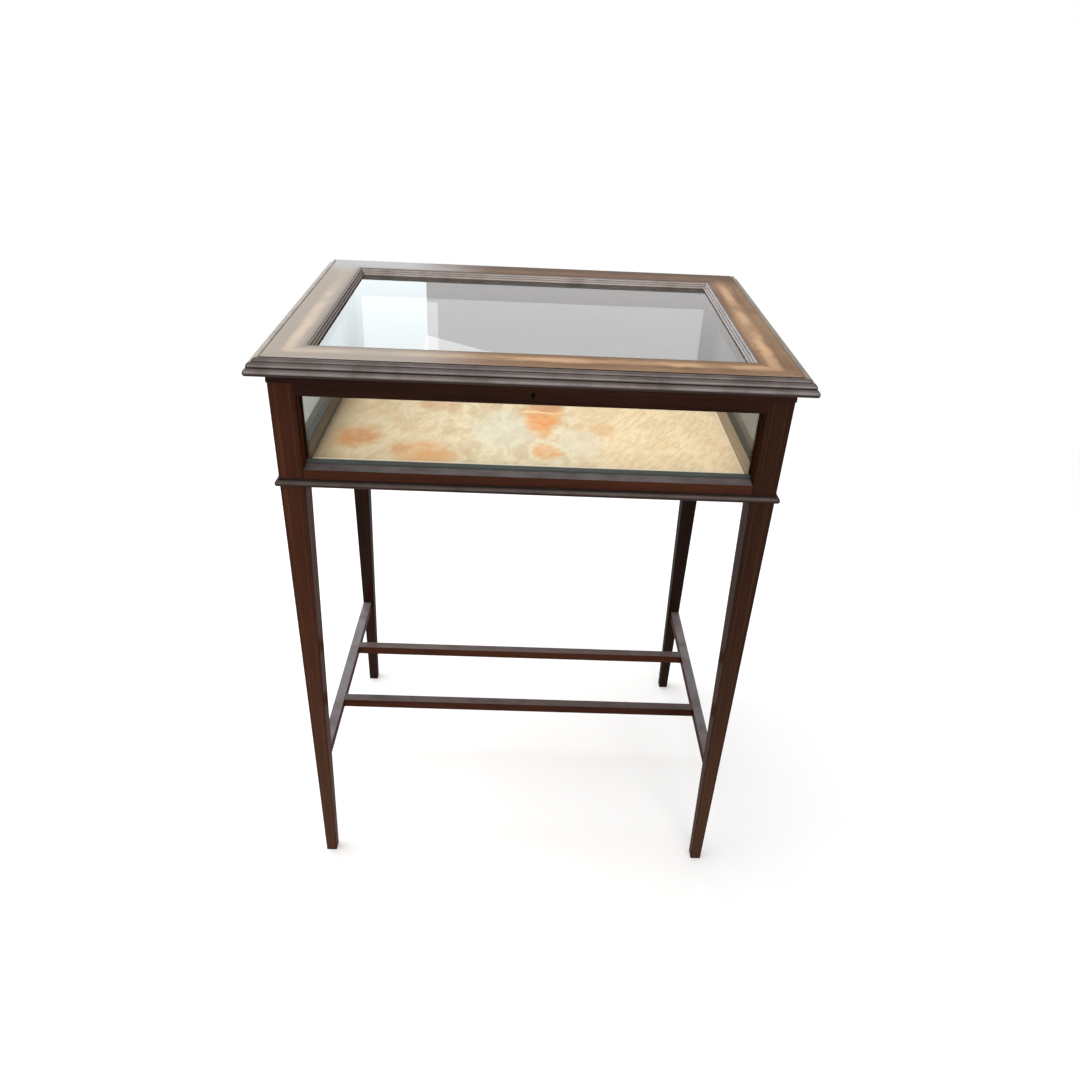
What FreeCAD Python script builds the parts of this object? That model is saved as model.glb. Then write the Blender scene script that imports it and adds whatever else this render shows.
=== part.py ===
import FreeCAD, Part

import os

import Sketcher
from FreeCAD import Placement, Rotation, Vector

# A glazed display table: four legs that run up as corner posts, a shallow glazed case between
# them, a hinged glazed lid with reeded mouldings, and an H of stretchers near the floor.
#
# The frame of the table has +X to the right, +Y to the back and +Z up. Its origin is on the
# floor, midway between the four feet.
#
# Every bar is drawn once as the back one, along X with its outside towards +Y, and turned
# about the middle of the table: 0 back, 90 left, 180 front, 270 right.

BACK = 0
LEFT = 90
FRONT = 180
RIGHT = 270
SIDES = {"back": BACK, "left": LEFT, "front": FRONT, "right": RIGHT}

# Driving dimensions in millimetres. Each one becomes a named cell of the sheet.
DIMENSIONS = {
    # the table
    "table_height": 760.0,              # floor to the flat of the lid
    "case_length": 556.0,               # over the posts, left to right
    "case_depth": 399.0,                # over the posts, front to back
    "underside_height": 609.6,          # floor to the underside of the case
    "post_width": 28.0,                 # square corner post, and the thickness of the rails
    "foot_width": 14.2,                 # square foot of the tapered leg
    # rails
    "top_rail_height": 26.2,
    "bottom_rail_height": 20.4,
    "tenon_length": 10.0,
    "tenon_thickness": 8.0,
    "tenon_set_back": 6.0,              # outer face of a rail to its tenon
    "tenon_shoulder": 3.0,              # above and below a tenon
    # glass of the case
    "glass_set_back": 16.0,             # outer face of a rail to the glass
    "glass_thickness": 3.0,
    "glass_rebate": 5.0,                # how far the glass runs into the rails and posts
    "glass_play": 0.5,                  # round the edges of a sheet
    "bead_stand": 1.0,                  # how far a bead stands out of its rebate
    # floor of the case
    "board_thickness": 8.0,
    "board_recess": 3.0,                # underside of the case to the underside of the board
    "board_rebate": 8.0,                # how far the board runs into the rails
    "board_play": 0.2,
    "lining_thickness": 4.4,            # padded fabric on the board
    "lining_play": 0.3,
    # cove moulding under the lid
    "frieze_height": 12.0,
    "frieze_projection": 4.2,
    "frieze_lip": 1.2,
    "frieze_fillet": 1.0,
    "frieze_fillet_height": 4.2,
    "frieze_hollow": 1.5,
    # moulding round the bottom of the case
    "base_mould_height": 9.0,
    "base_mould_core": 2.4,
    "base_mould_round": 2.1,
    "base_mould_fillet": 1.0,
    "base_mould_fillet_height": 1.3,
    # stretchers
    "stretcher_top": 177.4,
    "stretcher_height": 13.2,
    "stretcher_width": 14.0,
    "stretcher_spacing": 126.4,         # between the centres of the two long ones
    "stretcher_ease": 0.8,              # radius of the arrises
    "stretcher_tenon_length": 6.0,
    "stretcher_tenon_thickness": 6.0,
    "stretcher_tenon_shoulder": 2.6,
    # lid
    "lid_thickness": 17.0,
    "lid_overhang": 3.4,                # flat of the lid past the posts
    "lid_bar_width": 39.75,
    "lid_glass_thickness": 4.0,
    "lid_glass_drop": 8.0,              # flat of the lid down to the glass
    "lid_glass_rebate": 3.0,            # how far the glass runs under the bars
    "sight_width": 6.0,                 # moulding between the bars and the glass
    "sight_quirk": 0.6,
    "sight_lip": 0.5,
    "sight_reed_rise": 0.7,
    # reeded edge moulding of the lid: its valleys, outwards and down from the flat's edge
    "edge_quirk_out": 0.8,
    "edge_quirk_drop": 1.2,
    "edge_valley_out": 6.6,
    "edge_valley_drop": 3.6,
    "edge_hollow_out": 11.4,
    "edge_hollow_drop": 8.8,
    "edge_foot_out": 13.6,
    "edge_reed_rise": 2.3,
    "edge_clearance": 0.2,              # lid underside to the underside of the moulding
    # butt hinges
    "hinge_length": 45.0,
    "hinge_inset": 108.0,               # end of the case to the middle of a hinge
    "leaf_thickness": 1.6,
    "leaf_reach": 18.0,                 # pin to the far edge of a leaf
    "knuckle_radius": 3.0,
    "knuckle_gap": 0.2,                 # between one knuckle and the next
    "hinge_gap": 0.3,                   # back of the lid to the knuckles
    "pin_radius": 1.25,
    "pin_play": 0.05,                   # radial, in the knuckles
    "hinge_screw_spacing": 15.0,
    # screws
    "screw_radius": 1.3,
    "screw_head_radius": 2.6,
    "screw_head_height": 1.3,
    "screw_length": 10.0,
    # lock
    "lock_length": 60.0,
    "lock_height": 19.5,
    "lock_wall": 1.5,
    "lock_cavity_length": 44.0,
    "lock_screw_spacing": 52.0,
    "keyhole_drop": 14.8,               # top of the rail to the middle of the keyhole's eye
    "keyhole_eye": 2.2,
    "keyhole_slot": 1.8,
    "keyhole_tail": 4.2,                # middle of the eye to the end of the slot
    "liner_wall": 0.8,
    "liner_depth": 4.0,
    # bolt and link plate
    "bolt_thickness": 3.0,
    "bolt_height": 5.0,
    "bolt_play": 0.2,
    "bolt_travel": 6.0,
    "bolt_gap": 0.75,                   # finger to staple when the lock is open
    "finger_thickness": 3.0,
    "finger_post": 2.0,
    "finger_play": 0.5,                 # round a finger in its staple
    "talon_length": 8.0,
    "talon_height": 3.0,
    "link_length": 50.0,
    "link_thickness": 1.5,
    "link_screw_spacing": 40.0,
    "staple_spacing": 24.0,
    "staple_thickness": 2.5,
    "staple_wall": 1.2,
    "staple_drop": 10.0,
    "staple_gap": 0.45,                 # round a staple in the lock
}

MIDDLE = 0.0        # of the table, left to right
CUT_MARGIN = 5.0    # how far a cut runs past the wood it trims, which leaves no mark
REEDS = 3           # reeds of the moulding round the lid's glass
KNUCKLES = 5        # knuckles of a hinge, the odd ones on the lid
QUARTER_RISE = 1 - 0.5 ** 0.5   # rise of a quarter circle, in radii

document = FreeCAD.newDocument("display_table")
sheet = document.addObject("Spreadsheet::Sheet", "Sizes")
subparts = []


# %% Sizes that are bound to the sheet

class Size:
    """A length known both as a number and as the sheet formula that gives it."""

    def __init__(self, number, formula):
        self.number = number
        self.formula = formula

    def __add__(self, other):
        other = as_size(other)
        return Size(self.number + other.number, f"({self.formula} + {other.formula})")

    def __radd__(self, other):
        return as_size(other) + self

    def __sub__(self, other):
        other = as_size(other)
        return Size(self.number - other.number, f"({self.formula} - {other.formula})")

    def __rsub__(self, other):
        return as_size(other) - self

    def __mul__(self, other):
        other = as_size(other)
        return Size(self.number * other.number, f"({self.formula} * {other.formula})")

    def __rmul__(self, other):
        return as_size(other) * self

    def __truediv__(self, other):
        other = as_size(other)
        return Size(self.number / other.number, f"({self.formula} / {other.formula})")

    def __neg__(self):
        return Size(-self.number, f"(-{self.formula})")

    def root(self):
        return Size(self.number ** 0.5, f"sqrt({self.formula})")


def as_size(value):
    if isinstance(value, Size):
        return value
    return Size(float(value), repr(float(value)))


def bind(item, path, value):
    """Tie a property of an item to the sheet."""
    item.setExpression(path, as_size(value).formula)


for row, (alias, value) in enumerate(DIMENSIONS.items(), start=1):
    sheet.set(f"A{row}", alias.replace("_", " "))
    sheet.set(f"B{row}", str(value))
    sheet.setAlias(f"B{row}", alias)
document.recompute()


class Dimensions:
    """The driving dimensions and what follows from them, each as a Size."""

    def __init__(self):
        for alias, value in DIMENSIONS.items():
            setattr(self, alias, Size(value, f"Sizes.{alias}"))


size = Dimensions()

# the case
half_length = size.case_length / 2
half_depth = size.case_depth / 2
inner_length = half_length - size.post_width
inner_depth = half_depth - size.post_width
lid_underside = size.table_height - size.lid_thickness
top_rail_bottom = lid_underside - size.top_rail_height
bottom_rail_top = size.underside_height + size.bottom_rail_height
rebate_bottom = bottom_rail_top - size.glass_rebate
rebate_top = top_rail_bottom + size.glass_rebate
bead_front = size.glass_set_back + size.glass_thickness
board_bottom = size.underside_height + size.board_recess
board_top = board_bottom + size.board_thickness
base_mould_top = size.underside_height + size.base_mould_height

# the stretchers
stretcher_bottom = size.stretcher_top - size.stretcher_height
leg_taper = (size.post_width - size.foot_width) / size.underside_height
leg_at_stretcher = size.foot_width + leg_taper * size.stretcher_top
stretcher_tenon_set = (size.stretcher_width - size.stretcher_tenon_thickness) / 2
stretcher_tenon_bottom = stretcher_bottom + size.stretcher_tenon_shoulder
stretcher_tenon_top = size.stretcher_top - size.stretcher_tenon_shoulder

# the lid
lid_half_length = half_length + size.lid_overhang
lid_half_depth = half_depth + size.lid_overhang
lid_glass_top = size.table_height - size.lid_glass_drop
lid_glass_bottom = lid_glass_top - size.lid_glass_thickness
lid_rebate = size.lid_bar_width - size.lid_glass_rebate
lid_sight = size.lid_bar_width + size.sight_width

# the hinges
pin_depth = lid_half_depth + size.hinge_gap + size.knuckle_radius
leaf_edge = pin_depth - size.leaf_reach
leaf_end = pin_depth - size.knuckle_radius - size.hinge_gap
hinge_place = half_length - size.hinge_inset

# the lock, in the frame of the front rail: outwards is +Y until it is turned
window_width = size.bolt_thickness + 2 * size.finger_play
staple_width = window_width + 2 * size.staple_wall
lock_inner = inner_depth
cavity_inner = lock_inner + size.lock_wall
cavity_outer = cavity_inner + staple_width + 2 * size.staple_gap
lock_outer = cavity_outer + size.lock_wall
lock_middle = (lock_inner + lock_outer) / 2
lock_bottom = lid_underside - size.lock_height
cavity_bottom = lock_bottom + size.lock_wall
keyhole_middle = lid_underside - size.keyhole_drop
staple_bottom = lid_underside - size.staple_drop
window_bottom = staple_bottom + size.staple_wall
finger_bottom = window_bottom + size.finger_play
finger_top = finger_bottom + size.finger_thickness
window_top = finger_top + size.finger_play


# %% Ways of making a piece

def keep(item, name):
    """Take an item as the finished sub-part of that name."""
    item.Label = name
    subparts.append(item)
    return item


def turned(angle):
    return Placement(Vector(), Rotation(Vector(0, 0, 1), angle))


def new_body(name, angle=0):
    body = document.addObject("PartDesign::Body", name)
    body.Placement = turned(angle)
    return body


def origin_plane(body, role):
    return next(item for item in body.Origin.OriginFeatures if item.Role == role)


def outline(body, name, role, corners, lift=0.0):
    """A closed sketch on an origin plane of its body, every corner bound to the sheet.

    Each corner is (across, up), or (across, up, rise) where the edge that leaves it is an arc.
    The rise of an arc is how far it bows out of a counter-clockwise outline. lift moves the
    sketch along the plane's normal.
    """
    sketch = body.newObject("Sketcher::SketchObject", name)
    sketch.AttachmentSupport = [(origin_plane(body, role), "")]
    sketch.MapMode = "FlatFace"
    bind(sketch, "AttachmentOffset.Base.z", lift)

    corners = [tuple(as_size(value) for value in corner) for corner in corners]
    edges = []
    radii = []
    for corner, following in zip(corners, corners[1:] + corners[:1]):
        start = Vector(corner[0].number, corner[1].number, 0)
        end = Vector(following[0].number, following[1].number, 0)
        if len(corner) == 2:
            edges.append(Part.LineSegment(start, end))
            radii.append(None)
            continue
        chord = end - start
        rise = corner[2]
        outwards = Vector(chord.y, -chord.x, 0).normalize()
        edges.append(Part.Arc(start, (start + end) / 2 + outwards * rise.number, end))
        across = following[0] - corner[0]
        up = following[1] - corner[1]
        bow = rise if rise.number > 0 else -rise
        radii.append(((across * across + up * up) / 4 + bow * bow) / (2 * bow))
    sketch.addGeometry(edges, False)

    # an arc that runs clockwise starts at its second point
    first = []
    for index, corner in enumerate(corners):
        start = Vector(corner[0].number, corner[1].number, 0)
        swapped = (sketch.getPoint(index, 1) - start).Length > 1e-6
        first.append(2 if swapped else 1)
    for index in range(len(corners)):
        after = (index + 1) % len(corners)
        joined = Sketcher.Constraint("Coincident", index, 3 - first[index], after, first[after])
        sketch.addConstraint(joined)
    for index, corner in enumerate(corners):
        for kind, value in (("DistanceX", corner[0]), ("DistanceY", corner[1])):
            held = Sketcher.Constraint(kind, -1, 1, index, first[index], value.number)
            bind(sketch, f"Constraints[{sketch.addConstraint(held)}]", value)
    for index, radius in enumerate(radii):
        if radius is not None:
            curved = Sketcher.Constraint("Radius", index, radius.number)
            bind(sketch, f"Constraints[{sketch.addConstraint(curved)}]", radius)
    return sketch


def pad_both_ways(body, sketch, length):
    """Pad a section evenly to both sides of its plane, to a total length."""
    pad = body.newObject("PartDesign::Pad", f"{sketch.Name}_pad")
    pad.Profile = sketch
    pad.SideType = "Symmetric"
    bind(pad, "Length", length)
    return pad


def pocket_all(body, sketch, both_ways=False):
    """Cut a sketch's outline right through, against its normal or both ways."""
    pocket = body.newObject("PartDesign::Pocket", f"{sketch.Name}_cut")
    pocket.Profile = sketch
    pocket.Type = "ThroughAll"
    pocket.SideType = "Symmetric" if both_ways else "One side"
    return pocket


def set_box(item, across, along, up):
    """Bind a box to its low and high limits along X, Y and Z."""
    limits = {"x": ("Length", across), "y": ("Width", along), "z": ("Height", up)}
    for axis, (property_name, (low, high)) in limits.items():
        bind(item, property_name, high - low)
        bind(item, f"Placement.Base.{axis}", low)
    return item


def cut_box(body, name, across, along, up):
    return set_box(body.newObject("PartDesign::SubtractiveBox", name), across, along, up)


def add_box(body, name, across, along, up):
    return set_box(body.newObject("PartDesign::AdditiveBox", name), across, along, up)


def block(name, across, along, up):
    return set_box(document.addObject("Part::Box", name), across, along, up)


def around(middle, width):
    """The limits of a width about its middle."""
    return middle - width / 2, middle + width / 2


def eased_rectangle(across, up, ease):
    """Counter-clockwise corners of a rectangle whose arrises are rounded."""
    rise = ease * QUARTER_RISE
    left, right = across
    bottom, top = up
    return [
        (left + ease, bottom), (right - ease, bottom, rise),
        (right, bottom + ease), (right, top - ease, rise),
        (right - ease, top), (left + ease, top, rise),
        (left, top - ease), (left, bottom + ease, rise),
    ]


def tenoned_bar(name, corners, reach, tenon_along, tenon_up, tenon_length, angle):
    """A bar with square shoulders at plus and minus its reach, and a stub tenon past each."""
    body = new_body(name, angle)
    pad_both_ways(body, outline(body, f"{name}_section", "YZ_Plane", corners), 2 * reach)
    tenon_reach = reach + tenon_length
    add_box(body, f"{name}_tenons", (-tenon_reach, tenon_reach), tenon_along, tenon_up)
    return body


def framed_bar(name, corners, face, reach, outermost, innermost, angle, mitred=(True, True)):
    """A bar of a rectangular frame with mitred or square ends.

    corners are (outwards from the frame's face, height), counter-clockwise. reach is half the
    bar's length along that face. outermost and innermost bound the section. mitred says it for
    the ends at -X and +X of the bar before it is turned.
    """
    body = new_body(name, angle)
    section = [(face + corner[0], *corner[1:]) for corner in corners]
    pad_both_ways(body, outline(body, f"{name}_section", "YZ_Plane", section),
                  2 * (reach + outermost))
    far = reach + outermost + CUT_MARGIN
    outside = face + outermost + CUT_MARGIN
    inside = face + innermost - CUT_MARGIN
    for end, is_mitred in zip((-1, 1), mitred):
        if is_mitred:
            trim = [(far, outside), (reach + innermost - CUT_MARGIN, inside), (far, inside)]
        else:
            trim = [(far, outside), (reach, outside), (reach, inside), (far, inside)]
        trim = [(end * across, along) for across, along in trim]
        side = "left" if end < 0 else "right"
        pocket_all(body, outline(body, f"{name}_{side}_end", "XY_Plane", trim), both_ways=True)
    return body


def bored(name, blank, tool):
    """A blank with the room for its screws or pin cut out of it."""
    cut = document.addObject("Part::Cut", name)
    cut.Base = blank
    cut.Tool = tool
    return cut


def group(name, items, kind="Part::Compound"):
    collection = document.addObject(kind, name)
    if kind == "Part::Compound":
        collection.Links = items
    else:
        collection.Shapes = items
    return collection


def rod(name, radius, start, middle_y, middle_z, length):
    """A cylinder along +X."""
    cylinder = document.addObject("Part::Cylinder", name)
    cylinder.Placement = Placement(Vector(), Rotation(Vector(0, 1, 0), 90))
    bind(cylinder, "Radius", radius)
    bind(cylinder, "Height", length)
    bind(cylinder, "Placement.Base.x", start)
    bind(cylinder, "Placement.Base.y", middle_y)
    bind(cylinder, "Placement.Base.z", middle_z)
    return cylinder


def screw(name, place, tilt):
    """A countersunk screw that starts at its place; tilt turns it about X from pointing up."""
    head = document.addObject("Part::Cone", f"{name}_head")
    bind(head, "Radius1", size.screw_head_radius)
    bind(head, "Radius2", size.screw_radius)
    bind(head, "Height", size.screw_head_height)
    shank = document.addObject("Part::Cylinder", f"{name}_shank")
    bind(shank, "Radius", size.screw_radius)
    bind(shank, "Height", size.screw_length)
    whole = document.addObject("Part::Fuse", name)
    whole.Base = head
    whole.Tool = shank
    whole.Placement = Placement(Vector(), Rotation(Vector(1, 0, 0), tilt))
    for axis, value in zip("xyz", place):
        bind(whole, f"Placement.Base.{axis}", value)
    return whole


# %% Legs

def leg(name, angle, along_length, corner_x, corner_y):
    """A leg and its post, with the outer corner at the origin and the wood at -X and -Y.

    along_length says that the side stretcher meets the face that looks along -X.
    """
    body = new_body(name, angle)
    bind(body, "Placement.Base.x", corner_x)
    bind(body, "Placement.Base.y", corner_y)
    post = size.post_width
    foot = size.foot_width
    taper_top = size.underside_height

    elevation = outline(body, f"{name}_elevation", "XZ_Plane", [
        (-foot, 0), (0, 0), (0, lid_underside), (-post, lid_underside), (-post, taper_top)])
    pad = body.newObject("PartDesign::Pad", f"{name}_pad")
    pad.Profile = elevation
    bind(pad, "Length", post)
    past = -post - CUT_MARGIN
    taper = outline(body, f"{name}_taper", "YZ_Plane", [
        (-foot, 0), (-post, taper_top), (past, taper_top), (past, -CUT_MARGIN),
        (-foot, -CUT_MARGIN)])
    pocket_all(body, taper)

    inner = (-post, -post + size.glass_rebate)
    behind = (-post, -size.glass_set_back)
    rebate_height = (rebate_bottom, rebate_top)
    cut_box(body, f"{name}_rebate_x", inner, behind, rebate_height)
    cut_box(body, f"{name}_rebate_y", behind, inner, rebate_height)

    deep = (-post, -post + size.tenon_length)
    thick = (-size.tenon_set_back - size.tenon_thickness, -size.tenon_set_back)
    for which, low, high in (("top", top_rail_bottom, lid_underside),
                             ("bottom", size.underside_height, bottom_rail_top)):
        height = (low + size.tenon_shoulder, high - size.tenon_shoulder)
        cut_box(body, f"{name}_{which}_mortise_x", deep, thick, height)
        cut_box(body, f"{name}_{which}_mortise_y", thick, deep, height)

    deep = (-post, -leg_at_stretcher + size.stretcher_tenon_length)
    thick = (-stretcher_tenon_set - size.stretcher_tenon_thickness, -stretcher_tenon_set)
    height = (stretcher_tenon_bottom, stretcher_tenon_top)
    across, along = (deep, thick) if along_length else (thick, deep)
    cut_box(body, f"{name}_stretcher_mortise", across, along, height)
    return keep(body, name)


def make_legs():
    leg("leg_back_right", 0, False, half_length, half_depth)
    leg("leg_back_left", 90, True, -half_length, half_depth)
    leg("leg_front_left", 180, False, -half_length, -half_depth)
    leg("leg_front_right", 270, True, half_length, -half_depth)


# %% Rails of the case

def side_face(angle):
    """Distance from the middle of the table to the outer face of the case on a side."""
    return half_depth if angle in (BACK, FRONT) else half_length


def side_reach(angle):
    """Half the length of the case along a side."""
    return half_length if angle in (BACK, FRONT) else half_depth


def rail(name, corners, low, high, angle):
    """A case rail from (depth in from its outer face, height) corners."""
    face = side_face(angle)
    section = [(face - depth, height) for depth, height in corners]
    tenon_along = (face - size.tenon_set_back - size.tenon_thickness, face - size.tenon_set_back)
    tenon_up = (low + size.tenon_shoulder, high - size.tenon_shoulder)
    reach = side_reach(angle) - size.post_width
    return tenoned_bar(name, section, reach, tenon_along, tenon_up, size.tenon_length, angle)


def top_rail(name, angle):
    thick = size.post_width
    lip = size.glass_set_back
    return rail(name, [
        (thick, rebate_top), (lip, rebate_top), (lip, top_rail_bottom), (0, top_rail_bottom),
        (0, lid_underside), (thick, lid_underside)], top_rail_bottom, lid_underside, angle)


def bottom_rail(name, angle):
    thick = size.post_width
    lip = size.glass_set_back
    board_edge = thick - size.board_rebate
    return rail(name, [
        (thick, board_top), (board_edge, board_top), (board_edge, size.underside_height),
        (0, size.underside_height), (0, bottom_rail_top), (lip, bottom_rail_top),
        (lip, rebate_bottom), (thick, rebate_bottom)],
        size.underside_height, bottom_rail_top, angle)


def keyhole_corners(wall):
    """A round eye with a slot below it, grown all round by a wall."""
    eye = size.keyhole_eye + wall
    half_slot = size.keyhole_slot / 2 + wall
    tail = keyhole_middle - size.keyhole_tail - wall
    meet = (eye * eye - half_slot * half_slot).root()
    return [
        (-half_slot, tail), (half_slot, tail),
        (half_slot, keyhole_middle - meet, eye + meet), (-half_slot, keyhole_middle - meet)]


def make_rails(case_screws):
    for side, angle in SIDES.items():
        keep(bottom_rail(f"bottom_rail_{side}", angle), f"bottom_rail_{side}")
    for side in ("left", "right"):
        keep(top_rail(f"top_rail_{side}", SIDES[side]), f"top_rail_{side}")

    front = top_rail("front_rail_blank", FRONT)
    cut_box(front, "lock_recess", around(MIDDLE, size.lock_length),
            (lock_inner, lock_outer), (lock_bottom, lid_underside))
    keyhole = outline(front, "rail_keyhole", "XZ_Plane", keyhole_corners(size.liner_wall))
    pocket_all(front, keyhole)
    keep(bored("top_rail_front", front, case_screws), "top_rail_front")

    back = top_rail("back_rail_blank", BACK)
    for side, end in (("left", -1), ("right", 1)):
        cut_box(back, f"hinge_recess_{side}", around(end * hinge_place, size.hinge_length),
                (leaf_edge, half_depth), (lid_underside - size.leaf_thickness, lid_underside))
    keep(bored("top_rail_back", back, case_screws), "top_rail_back")


# %% Glass and beads of the case

def turned_group(name, items, angle):
    """Items drawn at the back, grouped and turned about the middle of the table."""
    collection = group(name, items)
    collection.Placement = turned(angle)
    return collection


def make_case_glass():
    play = size.glass_play
    for side, angle in SIDES.items():
        face = side_face(angle)
        reach = side_reach(angle) - size.post_width + size.glass_rebate - play
        pane = block(f"pane_{side}", (-reach, reach),
                     (face - bead_front, face - size.glass_set_back),
                     (rebate_bottom + play, rebate_top - play))
        keep(turned_group(f"glass_{side}", [pane], angle), f"glass_{side}")


def make_case_beads():
    """Beads fill the rebates behind the glass. The front and back uprights take the corners."""
    for side, angle in SIDES.items():
        face = side_face(angle)
        reach = side_reach(angle) - size.post_width
        along = (face - size.post_width, face - bead_front)
        takes_corner = angle in (BACK, FRONT)
        low = face - size.post_width
        upright_along = along if takes_corner else (low + size.glass_rebate, face - bead_front)
        stand = size.bead_stand
        sticks = [
            block(f"bead_{side}_bottom", (-reach, reach), along,
                  (rebate_bottom, bottom_rail_top + stand)),
            block(f"bead_{side}_top", (-reach, reach), along,
                  (top_rail_bottom - stand, rebate_top)),
            block(f"bead_{side}_start", (-reach - size.glass_rebate, -reach), upright_along,
                  (rebate_bottom, rebate_top)),
            block(f"bead_{side}_end", (reach, reach + size.glass_rebate), upright_along,
                  (rebate_bottom, rebate_top)),
        ]
        keep(turned_group(f"glass_beads_{side}", sticks, angle), f"glass_beads_{side}")


# %% Floor of the case

def make_floor():
    """The board is let into the rails and notched round the posts; the lining lies on it."""
    play = size.board_play
    board_x = inner_length + size.board_rebate - play
    board_y = inner_depth + size.board_rebate - play
    notch_x = inner_length - play
    notch_y = inner_depth - play
    body = new_body("base_board")
    plan = outline(body, "base_board_plan", "XY_Plane", [
        (-notch_x, -board_y), (notch_x, -board_y), (notch_x, -notch_y), (board_x, -notch_y),
        (board_x, notch_y), (notch_x, notch_y), (notch_x, board_y), (-notch_x, board_y),
        (-notch_x, notch_y), (-board_x, notch_y), (-board_x, -notch_y), (-notch_x, -notch_y)],
        lift=board_bottom)
    pad = body.newObject("PartDesign::Pad", "base_board_pad")
    pad.Profile = plan
    bind(pad, "Length", size.board_thickness)
    keep(body, "base_board")

    lining_x = inner_length - size.lining_play
    lining_y = inner_depth - size.lining_play
    keep(block("base_lining", (-lining_x, lining_x), (-lining_y, lining_y),
               (board_top, board_top + size.lining_thickness)), "base_lining")


# %% Mouldings of the case

def frieze_corners():
    """A cove under a lip, on a small fillet."""
    bottom = lid_underside - size.frieze_height
    fillet_top = bottom + size.frieze_fillet_height
    return [
        (0, bottom), (size.frieze_fillet, bottom), (size.frieze_fillet, fillet_top,
                                                    -size.frieze_hollow),
        (size.frieze_projection, lid_underside - size.frieze_lip),
        (size.frieze_projection, lid_underside), (0, lid_underside)]


def base_mould_corners():
    """A half round under a small fillet."""
    round_top = base_mould_top - size.base_mould_fillet_height
    return [
        (0, size.underside_height),
        (size.base_mould_core, size.underside_height, size.base_mould_round),
        (size.base_mould_core, round_top), (size.base_mould_fillet, round_top),
        (size.base_mould_fillet, base_mould_top), (0, base_mould_top)]


# The mouldings under and round the lid stop square at the back, where the hinges are.
FRONT_MITRES = {"left": (True, False), "front": (True, True), "right": (False, True)}


def make_case_mouldings():
    for side, mitred in FRONT_MITRES.items():
        angle = SIDES[side]
        name = f"frieze_moulding_{side}"
        keep(framed_bar(name, frieze_corners(), side_face(angle), side_reach(angle),
                        size.frieze_projection, 0, angle, mitred), name)
    for side, angle in SIDES.items():
        name = f"base_moulding_{side}"
        widest = size.base_mould_core + size.base_mould_round
        keep(framed_bar(name, base_mould_corners(), side_face(angle), side_reach(angle),
                        widest, 0, angle), name)


# %% Stretchers

def stretcher(name, face, reach, angle):
    along = (face - size.stretcher_width, face)
    corners = eased_rectangle(along, (stretcher_bottom, size.stretcher_top), size.stretcher_ease)
    tenon_along = (face - stretcher_tenon_set - size.stretcher_tenon_thickness,
                   face - stretcher_tenon_set)
    return tenoned_bar(name, corners, reach, tenon_along,
                       (stretcher_tenon_bottom, stretcher_tenon_top),
                       size.stretcher_tenon_length, angle)


def make_stretchers():
    inner_face = half_length - size.stretcher_width
    for side in ("left", "right"):
        name = f"side_stretcher_{side}"
        body = stretcher(name, half_length, half_depth - leg_at_stretcher, SIDES[side])
        for which, place in (("low", -size.stretcher_spacing / 2),
                             ("high", size.stretcher_spacing / 2)):
            cut_box(body, f"{name}_{which}_mortise",
                    around(place, size.stretcher_tenon_thickness),
                    (inner_face, inner_face + size.stretcher_tenon_length),
                    (stretcher_tenon_bottom, stretcher_tenon_top))
        keep(body, name)
    face = size.stretcher_spacing / 2 + size.stretcher_width / 2
    for side in ("back", "front"):
        name = f"long_stretcher_{side}"
        keep(stretcher(name, face, inner_face, SIDES[side]), name)


# %% Lid

def lid_face(angle):
    return lid_half_depth if angle in (BACK, FRONT) else lid_half_length


def lid_reach(angle):
    return lid_half_length if angle in (BACK, FRONT) else lid_half_depth


def lid_bar_corners():
    """A flat bar with a rebate for the glass under its inner edge."""
    return [
        (-size.lid_bar_width, lid_glass_top), (-lid_rebate, lid_glass_top),
        (-lid_rebate, lid_underside), (0, lid_underside), (0, size.table_height),
        (-size.lid_bar_width, size.table_height)]


def edge_moulding_corners():
    """Three reeds that run down and out from a quirk at the edge of the flat."""
    top = size.table_height
    bottom = lid_underside + size.edge_clearance
    rise = size.edge_reed_rise
    return [
        (0, bottom), (size.edge_foot_out, bottom, rise),
        (size.edge_hollow_out, top - size.edge_hollow_drop, rise),
        (size.edge_valley_out, top - size.edge_valley_drop, rise),
        (size.edge_quirk_out, top - size.edge_quirk_drop), (0, top)]


def sight_moulding_corners():
    """Small reeds that run down from the inner edge of the bars to the glass."""
    start = (-size.sight_quirk, size.table_height - size.sight_quirk)
    end = (-size.sight_width, lid_glass_top + size.sight_lip)
    corners = [(-size.sight_width, lid_glass_top), (0, lid_glass_top), (0, size.table_height)]
    for reed in range(REEDS):
        share = reed / REEDS
        across = start[0] + (end[0] - start[0]) * share
        height = start[1] + (end[1] - start[1]) * share
        corners.append((across, height, size.sight_reed_rise))
    corners.append(end)
    return corners


def lid_bar(name, angle):
    return framed_bar(name, lid_bar_corners(), lid_face(angle), lid_reach(angle),
                      0, -size.lid_bar_width, angle)


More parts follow.
